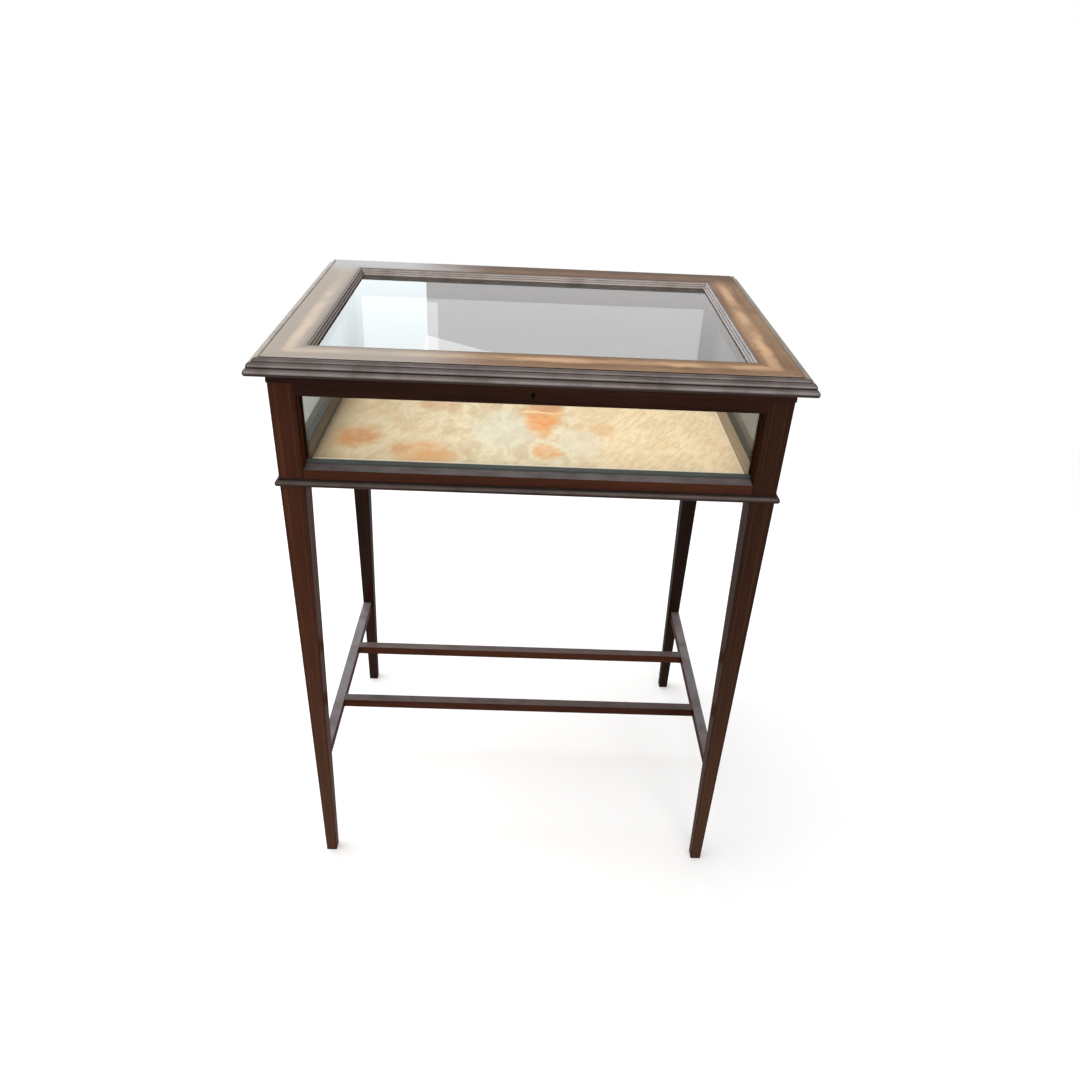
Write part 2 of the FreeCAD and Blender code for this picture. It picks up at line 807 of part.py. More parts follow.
def make_lid(lid_screws):
    for side in ("left", "right"):
        keep(lid_bar(f"lid_bar_{side}", SIDES[side]), f"lid_bar_{side}")
    back = lid_bar("lid_back_blank", BACK)
    for side, end in (("left", -1), ("right", 1)):
        cut_box(back, f"lid_hinge_recess_{side}", around(end * hinge_place, size.hinge_length),
                (leaf_edge, lid_half_depth), (lid_underside, lid_underside + size.leaf_thickness))
    keep(bored("lid_bar_back", back, lid_screws), "lid_bar_back")
    front = lid_bar("lid_front_blank", FRONT)
    cut_box(front, "link_recess", around(MIDDLE, size.link_length),
            (lock_inner, lock_outer), (lid_underside, lid_underside + size.link_thickness))
    keep(bored("lid_bar_front", front, lid_screws), "lid_bar_front")

    widest = size.edge_foot_out + size.edge_reed_rise
    for side, mitred in FRONT_MITRES.items():
        angle = SIDES[side]
        name = f"lid_edge_moulding_{side}"
        keep(framed_bar(name, edge_moulding_corners(), lid_face(angle), lid_reach(angle),
                        widest, 0, angle, mitred), name)
    for side, angle in SIDES.items():
        name = f"lid_sight_moulding_{side}"
        keep(framed_bar(name, sight_moulding_corners(), lid_face(angle) - size.lid_bar_width,
                        lid_reach(angle) - size.lid_bar_width,
                        0, -size.sight_width, angle), name)


def make_lid_glass():
    """The glass bears up against the sight mouldings; beads hold it from below."""
    glass_x = lid_half_length - lid_rebate
    glass_y = lid_half_depth - lid_rebate
    play = size.glass_play
    keep(block("lid_glass", (play - glass_x, glass_x - play), (play - glass_y, glass_y - play),
               (lid_glass_bottom, lid_glass_top)), "lid_glass")
    sight_x = lid_half_length - lid_sight
    sight_y = lid_half_depth - lid_sight
    up = (lid_underside, lid_glass_bottom)
    keep(group("lid_glass_beads", [
        block("lid_bead_front", (-glass_x, glass_x), (-glass_y, -sight_y), up),
        block("lid_bead_back", (-glass_x, glass_x), (sight_y, glass_y), up),
        block("lid_bead_left", (-glass_x, -sight_x), (-sight_y, sight_y), up),
        block("lid_bead_right", (sight_x, glass_x), (-sight_y, sight_y), up),
    ]), "lid_glass_beads")


# %% Hinges

def hinge_leaf(name, place, knuckles, up, screws):
    """A leaf let in flush, with every other knuckle of the barrel."""
    left, right = around(place, size.hinge_length)
    step = size.hinge_length / KNUCKLES
    pieces = [block(f"{name}_plate", (left, right), (leaf_edge, leaf_end), up)]
    for knuckle in knuckles:
        start = left + step * knuckle + size.knuckle_gap / 2
        width = step - size.knuckle_gap
        pieces.append(block(f"{name}_neck_{knuckle}", (start, start + width),
                            (leaf_end, pin_depth), up))
        pieces.append(rod(f"{name}_knuckle_{knuckle}", size.knuckle_radius, start, pin_depth,
                          lid_underside, width))
    blank = group(f"{name}_blank", pieces, "Part::MultiFuse")
    bore = rod(f"{name}_bore", size.pin_radius + size.pin_play, left, pin_depth, lid_underside,
               size.hinge_length)
    drilled = bored(f"{name}_drilled", blank, bore)
    return keep(bored(name, drilled, screws), name)


def make_hinges(case_screws, lid_screws):
    case_up = (lid_underside - size.leaf_thickness, lid_underside)
    lid_up = (lid_underside, lid_underside + size.leaf_thickness)
    for side, end in (("left", -1), ("right", 1)):
        place = end * hinge_place
        hinge_leaf(f"hinge_case_leaf_{side}", place, range(0, KNUCKLES, 2), case_up, case_screws)
        hinge_leaf(f"hinge_lid_leaf_{side}", place, range(1, KNUCKLES, 2), lid_up, lid_screws)
        pin = rod(f"hinge_pin_{side}", size.pin_radius, place - size.hinge_length / 2, pin_depth,
                  lid_underside, size.hinge_length)
        keep(pin, f"hinge_pin_{side}")


# %% Screws

UPWARDS = 0
DOWNWARDS = 180
FORWARDS = 90


def make_screws():
    """Countersunk screws: down through the case leaves and up through the lid leaves, through
    the lock into the front rail, and through the link plate into the lid."""
    case_items = []
    lid_items = []
    screw_line = (leaf_edge + leaf_end) / 2
    for side, end in (("left", -1), ("right", 1)):
        for index in range(3):
            place_x = end * hinge_place + (index - 1) * size.hinge_screw_spacing
            place = (place_x, screw_line, lid_underside)
            case_items.append(screw(f"case_screw_{side}_{index}", place, DOWNWARDS))
            lid_items.append(screw(f"lid_screw_{side}_{index}", place, UPWARDS))
        lock_place = (end * size.lock_screw_spacing / 2, -lock_inner,
                      (lock_bottom + lid_underside) / 2)
        case_items.append(screw(f"lock_screw_{side}", lock_place, FORWARDS))
        link_place = (end * size.link_screw_spacing / 2, -lock_middle, lid_underside)
        lid_items.append(screw(f"link_screw_{side}", link_place, UPWARDS))
    case_screws = keep(group("case_screws", case_items), "case_screws")
    lid_screws = keep(group("lid_screws", lid_items), "lid_screws")
    return case_screws, lid_screws


# %% Lock

def make_lock(case_screws, lid_screws):
    """A box lock let into the inside of the front rail. Its bolt slides sideways and puts two
    fingers through the staples of the link plate under the lid."""
    staples = (-size.staple_spacing / 2, size.staple_spacing / 2)

    case = new_body("lock_blank", FRONT)
    add_box(case, "lock_outside", around(MIDDLE, size.lock_length), (lock_inner, lock_outer),
            (lock_bottom, lid_underside))
    cut_box(case, "lock_cavity", around(MIDDLE, size.lock_cavity_length),
            (cavity_inner, cavity_outer), (cavity_bottom, lid_underside - size.lock_wall))
    for index, place in enumerate(staples):
        cut_box(case, f"lock_slot_{index}",
                around(place, size.staple_thickness + 2 * size.staple_gap),
                around(lock_middle, staple_width + 2 * size.staple_gap),
                (lid_underside - size.lock_wall, lid_underside))
    keyhole = outline(case, "lock_keyhole", "XZ_Plane", keyhole_corners(0),
                      lift=-(cavity_outer - size.lock_wall))
    pocket_all(case, keyhole)
    keep(bored("lock_case", case, case_screws), "lock_case")

    # a flat bar with a talon cut for the key, and a hooked finger for each staple
    bolt_bottom = cavity_bottom + size.bolt_play
    bolt_top = bolt_bottom + size.bolt_height
    finger_reach = size.staple_thickness / 2 + size.bolt_gap
    finger_length = size.finger_post + size.bolt_travel - size.bolt_gap + size.finger_play
    tips = [place - finger_reach for place in staples]
    heels = [tip - finger_length for tip in tips]
    talon = around(-size.bolt_travel / 2, size.talon_length)
    bolt = new_body("lock_bolt", FRONT)
    corners = [
        (heels[0], bolt_bottom), (talon[0], bolt_bottom),
        (talon[0], bolt_bottom + size.talon_height), (talon[1], bolt_bottom + size.talon_height),
        (talon[1], bolt_bottom), (heels[1] + size.finger_post, bolt_bottom)]
    for heel, tip in reversed(list(zip(heels, tips))):
        corners += [
            (heel + size.finger_post, finger_bottom), (tip, finger_bottom), (tip, finger_top),
            (heel, finger_top)]
        if heel is heels[1]:
            corners += [(heel, bolt_top), (heels[0] + size.finger_post, bolt_top)]
    side_view = outline(bolt, "lock_bolt_side", "XZ_Plane", corners,
                        lift=-(lock_middle - size.bolt_thickness / 2))
    pad = bolt.newObject("PartDesign::Pad", "lock_bolt_pad")
    pad.Profile = side_view
    pad.Reversed = True
    bind(pad, "Length", size.bolt_thickness)
    keep(bolt, "lock_bolt")

    plate = new_body("link_blank", FRONT)
    add_box(plate, "link_flat", around(MIDDLE, size.link_length), (lock_inner, lock_outer),
            (lid_underside, lid_underside + size.link_thickness))
    for index, place in enumerate(staples):
        add_box(plate, f"staple_{index}", around(place, size.staple_thickness),
                around(lock_middle, staple_width), (staple_bottom, lid_underside))
        cut_box(plate, f"staple_window_{index}", around(place, size.staple_thickness),
                around(lock_middle, window_width), (window_bottom, window_top))
    keep(bored("link_plate", plate, lid_screws), "link_plate")

    liner = new_body("keyhole_liner", FRONT)
    depth = size.liner_depth
    outside = outline(liner, "liner_outside", "XZ_Plane", keyhole_corners(size.liner_wall),
                      lift=-(half_depth - depth))
    pad = liner.newObject("PartDesign::Pad", "liner_pad")
    pad.Profile = outside
    pad.Reversed = True
    bind(pad, "Length", depth)
    pocket_all(liner, outline(liner, "liner_inside", "XZ_Plane", keyhole_corners(0)))
    keep(liner, "keyhole_liner")


# %% The whole table

def check_document():
    """Stop before anything is written if a feature failed, cut nothing or gave no solid."""
    for item in document.Objects:
        if "Invalid" in item.State or "Error" in item.State:
            raise RuntimeError(f"{item.Label} failed: {item.State}")
        if item.TypeId in ("PartDesign::Pocket", "PartDesign::SubtractiveBox"):
            if not item.Shape.Volume < item.BaseFeature.Shape.Volume:
                raise RuntimeError(f"{item.Label} cuts nothing")
    for item in subparts:
        if item.Shape.isNull() or not item.Shape.isValid() or not item.Shape.Solids:
            raise RuntimeError(f"{item.Label} has no valid solid")


def main():
    case_screws, lid_screws = make_screws()
    make_legs()
    make_rails(case_screws)
    make_case_glass()
    make_case_beads()
    make_floor()
    make_case_mouldings()
    make_stretchers()
    make_lid(lid_screws)
    make_lid_glass()
    make_hinges(case_screws, lid_screws)
    make_lock(case_screws, lid_screws)
    document.recompute()
    check_document()
    os.makedirs("parts", exist_ok=True)
    for item in subparts:
        item.Shape.exportStep(os.path.join("parts", f"{item.Label}.step"))
        print(f"{item.Label}: {len(item.Shape.Solids)} solids, {item.Shape.Volume:.1f} mm3")
    print(f"{len(subparts)} sub-parts")


main()
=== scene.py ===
# %% [markdown]
# # A glazed display table in old mahogany
#
# This is a small table with a shallow glass case for a top. Its lid is glazed too, and is hinged
# at the back. The joiner's shapes, sizes and moving parts come ready made in the frame, so this
# lesson is about what dresses them: the polished wood with its fine lines of stringing, the old
# glass, the dull brass, and the stained damask that covers the floor of the case.
#
# All lengths are in metres.

# %% Load the frame
import math
import bpy
from mathutils import Matrix, Vector, noise


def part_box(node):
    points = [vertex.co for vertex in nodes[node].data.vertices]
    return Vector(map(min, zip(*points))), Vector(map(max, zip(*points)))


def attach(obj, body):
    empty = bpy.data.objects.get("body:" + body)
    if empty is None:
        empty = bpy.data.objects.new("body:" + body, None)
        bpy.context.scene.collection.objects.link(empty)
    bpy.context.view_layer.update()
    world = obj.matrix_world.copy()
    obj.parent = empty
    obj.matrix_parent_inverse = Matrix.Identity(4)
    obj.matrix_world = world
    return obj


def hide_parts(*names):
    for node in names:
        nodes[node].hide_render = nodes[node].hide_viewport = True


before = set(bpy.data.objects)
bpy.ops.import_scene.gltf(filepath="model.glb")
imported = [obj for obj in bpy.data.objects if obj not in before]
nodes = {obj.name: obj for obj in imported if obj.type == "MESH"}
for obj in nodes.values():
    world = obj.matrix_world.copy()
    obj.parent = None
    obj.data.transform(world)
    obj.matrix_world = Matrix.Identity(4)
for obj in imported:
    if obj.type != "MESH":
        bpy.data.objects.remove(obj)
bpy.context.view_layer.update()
print("pieces in the frame:", len(nodes))

# %% [markdown]
# ## Where we stand
#
# A display table is looked at from a little above its lid, close in front. A short lens held that
# near makes the legs draw together towards the floor. We could aim the camera with a constraint,
# but three angles and a place say the same thing and leave nothing to solve: how far it looks
# down, how far it is turned, and how far it is tipped.

# %% The camera
CAMERA_PLACE = Vector((-0.01012, -1.05201, 1.07008))
LOOKS_DOWN = math.radians(31.39)
TURNED_RIGHT = math.radians(1.68)
TIPPED = math.radians(2.82)
LENS_MM = 28.70

forward = Vector((math.sin(TURNED_RIGHT) * math.cos(LOOKS_DOWN),
                  math.cos(TURNED_RIGHT) * math.cos(LOOKS_DOWN),
                  -math.sin(LOOKS_DOWN)))
level_right = Vector((math.cos(TURNED_RIGHT), -math.sin(TURNED_RIGHT), 0))
level_up = level_right.cross(forward)
camera_right = level_right * math.cos(TIPPED) + level_up * math.sin(TIPPED)
camera_up = level_up * math.cos(TIPPED) - level_right * math.sin(TIPPED)

camera_data = bpy.data.cameras.new("Standing view")
camera_data.sensor_width = 36
camera_data.lens = LENS_MM
camera = bpy.data.objects.new("Standing view", camera_data)
bpy.context.scene.collection.objects.link(camera)
axes = Matrix((camera_right, camera_up, -forward)).transposed().to_4x4()
camera.matrix_world = Matrix.Translation(CAMERA_PLACE) @ axes
bpy.context.scene.camera = camera
print("camera stands", round(CAMERA_PLACE.length, 3), "m from the middle of the floor")

# %% [markdown]
# ## Tools for shader nodes
#
# Every finish below is a small network of nodes. Adding nodes one property at a time hides the
# idea of the network, so these helpers let a line of Python read like a line of the recipe: a
# node, its settings, and what flows into it.

# %% Node helpers
def add_node(tree, kind, inputs=None, **settings):
    """A node of that kind. An input is given by name or number, as a value or as a socket."""
    made = tree.nodes.new("ShaderNode" + kind)
    for name, value in settings.items():
        setattr(made, name, value)
    for name, value in (inputs or {}).items():
        if isinstance(value, bpy.types.NodeSocket):
            tree.links.new(value, made.inputs[name])
        else:
            made.inputs[name].default_value = value
    return made


def maths(tree, operation, *values, clamp=False):
    return add_node(tree, "Math", dict(enumerate(values)), operation=operation,
                    use_clamp=clamp).outputs[0]


def plus(tree, first, second, clamp=False):
    return maths(tree, "ADD", first, second, clamp=clamp)


def minus(tree, first, second):
    return maths(tree, "SUBTRACT", first, second)


def times(tree, first, second, clamp=False):
    return maths(tree, "MULTIPLY", first, second, clamp=clamp)


def vector_maths(tree, operation, *values):
    made = add_node(tree, "VectorMath", dict(enumerate(values)), operation=operation)
    return made.outputs["Value" if operation in ("DOT_PRODUCT", "LENGTH") else "Vector"]


def parts_of(tree, vector):
    """The X, Y and Z of a vector, to be picked by name."""
    return add_node(tree, "SeparateXYZ", {0: vector}).outputs


print("node helpers:", [helper.__name__ for helper in (
    add_node, maths, plus, minus, times, vector_maths, parts_of)])

# %% [markdown]
# A few mixtures come up in every finish: a soft step from one value to another, two colours mixed,
# a cloud of noise, and noise used to push an outline about. They could be groups, but each is one
# or two nodes, so a function that adds them is shorter and keeps the material's tree flat. Colours
# are written as a screen shows them, because that is how we know them, and are turned into linear
# light, which is what the renderer works with.

# %% Helpers for mixing
def fade(tree, value, start, end, low=0.0, high=1.0):
    """A soft step: low at start, high at end."""
    return add_node(tree, "MapRange", {"Value": value, "From Min": start, "From Max": end,
                                       "To Min": low, "To Max": high},
                    interpolation_type="SMOOTHSTEP").outputs["Result"]


def blend(tree, factor, first, second, how="MIX"):
    """Two colours mixed by a factor."""
    return add_node(tree, "Mix", {0: factor, 6: first, 7: second}, data_type="RGBA",
                    blend_type=how).outputs[2]


def cloud(tree, vector, scale, detail=2.0, distortion=0.0):
    return add_node(tree, "TexNoise", {"Vector": vector, "Scale": scale, "Detail": detail,
                                       "Distortion": distortion}).outputs["Fac"]


def shift(tree, noise_value, width):
    """Noise between 0 and 1 turned into a shift to either side, that wide in all."""
    return times(tree, minus(tree, noise_value, 0.5), width)


def colour(red, green, blue):
    """A colour as a screen shows it, from 0 to 255, turned into the linear light Blender uses."""
    def linear(part):
        part /= 255
        return part / 12.92 if part <= 0.04045 else ((part + 0.055) / 1.055) ** 2.4
    return (linear(red), linear(green), linear(blue), 1.0)


print("the middle grey of a screen, in linear light:", round(colour(128, 128, 128)[0], 3))

# %% [markdown]
# Wood grain, worn edges and dust turn up on almost every piece of the table. Their nodes could be
# copied into each material, but a correction would then have to be made in twenty places. A group
# is built once, with named inputs and outputs, and each material places it and gives it its own
# numbers. The shader stays outside the groups, in the material.

# %% Group helpers
SOCKET_KINDS = {"float": "NodeSocketFloat", "colour": "NodeSocketColor",
                "vector": "NodeSocketVector"}


def new_group(name, inputs, outputs):
    """An empty group. Inputs are name: (kind, value) and outputs are name: kind."""
    tree = bpy.data.node_groups.new(name, "ShaderNodeTree")
    for label, (kind, value) in inputs.items():
        socket = tree.interface.new_socket(name=label, in_out="INPUT",
                                           socket_type=SOCKET_KINDS[kind])
        if value is not None:
            socket.default_value = value
    for label, kind in outputs.items():
        tree.interface.new_socket(name=label, in_out="OUTPUT", socket_type=SOCKET_KINDS[kind])
    given = tree.nodes.new("NodeGroupInput").outputs
    result = tree.nodes.new("NodeGroupOutput").inputs
    return tree, given, result


def place_group(tree, group, **inputs):
    """The group as one node of a material. Underscores in a name stand for spaces."""
    made = add_node(tree, "Group", node_tree=group)
    for name, value in inputs.items():
        socket = made.inputs[name.replace("_", " ")]
        if isinstance(value, bpy.types.NodeSocket):
            tree.links.new(value, socket)
        else:
            socket.default_value = value
    return made.outputs


def new_material(name, **shader_values):
    """A material with its shader. Values that are the same all over sit on the shader itself."""
    made = bpy.data.materials.new(name)
    made.use_nodes = True
    shader = made.node_tree.nodes["Principled BSDF"]
    for label, value in shader_values.items():
        shader.inputs[label.replace("_", " ")].default_value = value
    return made, made.node_tree, shader


def feed(tree, shader, **inputs):
    for label, value in inputs.items():
        tree.links.new(value, shader.inputs[label.replace("_", " ")])


def bump(tree, height, distance, strength, **more):
    """The normal of a surface with that relief. The distance is its depth in metres."""
    return add_node(tree, "Bump", {"Height": height, "Distance": distance,
                                   "Strength": strength, **more}).outputs["Normal"]


print("kinds of group socket:", sorted(SOCKET_KINDS))

# %% [markdown]
# ## Mahogany
#
# The whole table is one timber, darkened by a century of polish. Its grain runs along each piece:
# broad bands of colour, finer streaks inside them, and short dark pores. A picture of wood would
# do for a flat board, but it would have to be unwrapped over fifty small pieces. Noise that is
# stretched along one axis needs no unwrapping and never repeats, so the group below expects grain
# along X, and each material turns its coordinates to suit.

# %% The grain group
ALONG_THE_GRAIN = (0.06, 1, 1)      # the pattern changes this much slower along X
ALONG_A_PORE = (0.05, 1, 1)
BAND_SCALE = 30
STREAK_SCALE = 240
PORE_SCALE = 1500
BAND_SHARE = 0.62                   # the rest of the tone is streaks


def make_grain_group():
    tree, given, result = new_group("Mahogany grain", {
        "Vector": ("vector", None), "Deep": ("colour", None), "Pale": ("colour", None),
        "Contrast": ("float", 1.0), "Pores": ("float", 0.5)},
        {"Color": "colour", "Streaks": "float", "Height": "float"})
    along = vector_maths(tree, "MULTIPLY", given["Vector"], ALONG_THE_GRAIN)
    bands = cloud(tree, along, BAND_SCALE, 2, 0.8)
    streaks = cloud(tree, along, STREAK_SCALE, 3, 0.3)
    tone = plus(tree, times(tree, bands, BAND_SHARE), times(tree, streaks, 1 - BAND_SHARE))
    swing = times(tree, given["Contrast"], 3.0)
    tone = plus(tree, shift(tree, tone, swing), 0.5, clamp=True)
    short = vector_maths(tree, "MULTIPLY", given["Vector"], ALONG_A_PORE)
    pores = fade(tree, cloud(tree, short, PORE_SCALE, 1), 0.60, 0.72)
    wood = blend(tree, tone, given["Deep"], given["Pale"])
    shade = times(tree, pores, given["Pores"])
    tree.links.new(blend(tree, shade, wood, colour(16, 7, 5)), result["Color"])
    tree.links.new(streaks, result["Streaks"])
    tree.links.new(minus(tree, 1.0, pores), result["Height"])
    return tree


grain_group = make_grain_group()
print("built", grain_group.name, "with", len(grain_group.nodes), "nodes")

# %% [markdown]
# Hands and polish darken the sharp corners of the wood, the arrises, before anything else. They
# could be painted, or cut as real bevels on every piece. The Bevel node is simpler: it asks what
# the surface would face if its edges were rounded, and where that differs from the true normal,
# there is an edge. Broken up with noise, the answer is a believable line of wear. The same mask
# also finds the hollow edges in the grooves of a moulding, and there its darkening is painted
# shade.

# %% The edge wear and groove shade group
def make_edge_and_groove_shade_group():
    tree, given, result = new_group("Worn arris and groove shade", {
        "Vector": ("vector", None), "Radius": ("float", 0.0012), "Evenness": ("float", 0.5)},
        {"Mask": "float", "Normal": "vector"})
    rounded = add_node(tree, "Bevel", {"Radius": given["Radius"]}, samples=4).outputs["Normal"]
    true_normal = add_node(tree, "NewGeometry").outputs["Normal"]
    facing = vector_maths(tree, "DOT_PRODUCT", rounded, true_normal)
    edge = fade(tree, facing, 0.995, 0.90)
    patches = fade(tree, cloud(tree, given["Vector"], 60, 3), 0.35, 0.60)
    kept = maths(tree, "MAXIMUM", patches, given["Evenness"])
    tree.links.new(times(tree, edge, kept, clamp=True), result["Mask"])
    tree.links.new(rounded, result["Normal"])
    return tree


edge_and_groove_shade_group = make_edge_and_groove_shade_group()
print("built", edge_and_groove_shade_group.name)

# %% [markdown]
# Dust settles on what faces up. Its grey also stands in for the sheen of the polish, so the mask
# is part dust and part painted sheen, and on the noses of a moulding it is mostly painted sheen.
# Both depend on how steep the surface is, so the group reads the upward part of the normal. It has
# two ends: faces steeper than Steepest hold nothing and faces flatter than Flattest hold all they
# can, while On Tops takes some away again from the level faces. Patches keep it uneven.

# %% The dust and sheen group
PATCH_SCALE = 35
SPECK_SCALE = 900


def make_dust_and_sheen_group():
    tree, given, result = new_group("Settled dust and painted sheen", {
        "Vector": ("vector", None), "Normal": ("vector", None), "Amount": ("float", 0.5),
        "Steepest": ("float", 0.55), "Flattest": ("float", 0.95), "On Tops": ("float", 1.0)},
        {"Mask": "float"})
    up = parts_of(tree, given["Normal"])["Z"]
    lies = times(tree, fade(tree, up, given["Steepest"], given["Flattest"]),
                 fade(tree, up, 0.20, 0.85, 1.0, given["On Tops"]))
    patches = fade(tree, cloud(tree, given["Vector"], PATCH_SCALE, 5), 0.20, 0.70, 0.45, 1.0)
    specks = fade(tree, cloud(tree, given["Vector"], SPECK_SCALE, 1), 0.60, 0.75)
    spread = plus(tree, patches, times(tree, specks, 0.6), clamp=True)
    settled = times(tree, times(tree, lies, spread), given["Amount"], clamp=True)
    tree.links.new(settled, result["Mask"])
    return tree


dust_and_sheen_group = make_dust_and_sheen_group()
print("built", dust_and_sheen_group.name)

# %% [markdown]
# Each leg carries two thin lines of paler wood on every face, let in a little way from its edges.
# They narrow with the leg. Real stringing is a strip of veneer well under a millimetre wide. It
# could be sixteen thin solids let into the legs, but at that width only its colour shows, so the
# material draws it. The outer faces of the legs are upright, and only the inner ones taper, so a
# point's share of the leg's width follows from its height and its distance from the outer corner.

# %% The stringing group
CASE_HALF_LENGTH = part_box("top_rail_left")[0].x * -1
CASE_HALF_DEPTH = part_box("top_rail_back")[1].y
POST_WIDTH = 0.028
FOOT_WIDTH = 0.0142
TAPER_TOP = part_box("base_moulding_front")[0].z
STRINGING_SHARE = 0.235             # edge of the leg to the line, as a share of its width
STRINGING_WIDTH = 0.0007


def make_stringing_group():
    tree, given, result = new_group("Stringing on the legs", {
        "Vector": ("vector", None), "Normal": ("vector", None)}, {"Mask": "float"})
    place = parts_of(tree, given["Vector"])
    facing = parts_of(tree, given["Normal"])
    width = add_node(tree, "MapRange", {
        "Value": place["Z"], "From Min": 0.0, "From Max": TAPER_TOP,
        "To Min": FOOT_WIDTH, "To Max": POST_WIDTH}).outputs["Result"]

    def line(coordinate, half_size, normal):
        """The two lines on the faces that look along the other axis."""
        inward = minus(tree, half_size, maths(tree, "ABSOLUTE", coordinate))
        from_middle = maths(tree, "ABSOLUTE", minus(tree, inward, times(tree, width, 0.5)))
        line_place = times(tree, width, 0.5 - STRINGING_SHARE)
        off = maths(tree, "ABSOLUTE", minus(tree, from_middle, line_place))
        strip = fade(tree, off, STRINGING_WIDTH * 0.7, STRINGING_WIDTH * 0.3)
        return times(tree, strip, fade(tree, maths(tree, "ABSOLUTE", normal), 0.8, 0.9))

    lines = maths(tree, "MAXIMUM", line(place["X"], CASE_HALF_LENGTH, facing["Y"]),
                  line(place["Y"], CASE_HALF_DEPTH, facing["X"]))
    lost = fade(tree, cloud(tree, given["Vector"], 25, 3), 0.30, 0.55, 0.35, 1.0)
    tree.links.new(times(tree, lines, lost), result["Mask"])
    return tree


stringing_group = make_stringing_group()
print("case half sizes:", round(CASE_HALF_LENGTH, 4), round(CASE_HALF_DEPTH, 4))

# %% [markdown]
# French polish is a thin clear film over matt timber. A lower roughness could stand for it, but
# then the whole timber would shine like plastic. So the shader's own gloss is off and its coat is
# the film. Only what was within reach of the polisher's pad has it: the outer faces and the tops,
# and not the faces that look into the case. A face looks outward when its normal points the same
# way as the line from the table's middle.

# %% The polish group
def make_polish_group():
    tree, given, result = new_group("French polish", {
        "Vector": ("vector", None), "Normal": ("vector", None),
        "Sides": ("float", 0.1), "Tops": ("float", 0.35)}, {"Film": "float"})
    level = (1, 1, 0)
    outward = vector_maths(tree, "DOT_PRODUCT",
                           vector_maths(tree, "MULTIPLY", given["Normal"], level),
                           vector_maths(tree, "MULTIPLY", given["Vector"], level))
    height = parts_of(tree, given["Vector"])["Z"]
    outer = maths(tree, "MAXIMUM", fade(tree, outward, 0.0, 0.02),
                  fade(tree, height, TAPER_TOP, TAPER_TOP - 0.01))
    up = fade(tree, parts_of(tree, given["Normal"])["Z"], 0.2, 0.9)
    sides = times(tree, outer, given["Sides"])
    tops = times(tree, up, given["Tops"])
    tree.links.new(maths(tree, "MAXIMUM", sides, tops), result["Film"])
    return tree


polish_group = make_polish_group()
print("built", polish_group.name)

# %% [markdown]
# Rails run along X or Y and legs stand along Z, and the grain runs with them. Each piece could
# have a UV map that says so. All pieces share the table's own coordinates, though, so it is enough
# to turn those by a quarter for a piece that lies or stands another way.

# %% Which way the grain runs
QUARTER_TURN = math.pi / 2
GRAIN_TURNS = {"x": (0, 0, 0), "y": (0, 0, QUARTER_TURN), "z": (0, QUARTER_TURN, 0)}


def grain_coordinates(tree, run):
    """Object coordinates, turned so that the grain that runs along the piece runs along X."""
    source = add_node(tree, "TexCoord").outputs
    turned = add_node(tree, "Mapping", {"Vector": source["Object"],
                                        "Rotation": GRAIN_TURNS[run]}).outputs["Vector"]
    return source, turned


print("quarter turns for:", [run for run, turn in GRAIN_TURNS.items() if any(turn)])

# %% [markdown]
# The legs have three things that no other piece has: the stringing, scuffs towards the floor where
# shoes and brooms met them, and painted shade that darkens the two that stand at the back. They
# could get a recipe of their own, but it would repeat all of the mahogany's. So these three are
# one function that takes the wood as it is and hands it back changed.

# %% What only the legs have
STRINGING_STRENGTH = 0.16
SCUFFED = (0.48, 0.05)              # heights at which the scuffs begin, and are at their full
BACK_LEG_PAINTED_SHADE = (-0.1, 0.1)                # along Y: from the front legs to the back ones


def string_scuff_and_shade(tree, source, wood):
    """What only the legs have: stringing, scuffs near the floor, and painted shade at the back."""
    strings = place_group(tree, stringing_group, Vector=source["Object"],
                          Normal=source["Normal"])
    wood = blend(tree, times(tree, strings["Mask"], STRINGING_STRENGTH), wood,
                 colour(128, 88, 60))
    place = parts_of(tree, source["Object"])
    scuffed = fade(tree, place["Z"], *SCUFFED, 0.0, 0.32)
    wood = blend(tree, scuffed, wood, colour(96, 68, 50))
    # Painted shade: the back legs are multiplied darker.
    back_leg_shade = fade(tree, place["Y"], *BACK_LEG_PAINTED_SHADE, 0.0, 0.72)
    return blend(tree, back_leg_shade, wood, colour(52, 40, 34), "MULTIPLY")


print("scuffs begin", SCUFFED[0], "m above the floor")

# %% [markdown]
# The mahogany differs from piece to piece in how its grain runs, how dark it is, where dust and
# painted sheen lie on it, how far its sharp edges have darkened, and how much polish is left. A
# material written out for each piece would soon drift apart. One function with these as its
# arguments keeps them all one timber.

# %% The mahogany recipe
DARK = (colour(40, 18, 10), colour(80, 42, 26))
GREY_DUST_AND_SHEEN = colour(122, 120, 121)
WORN_EDGE_AND_GROOVE_SHADE = colour(26, 17, 15)


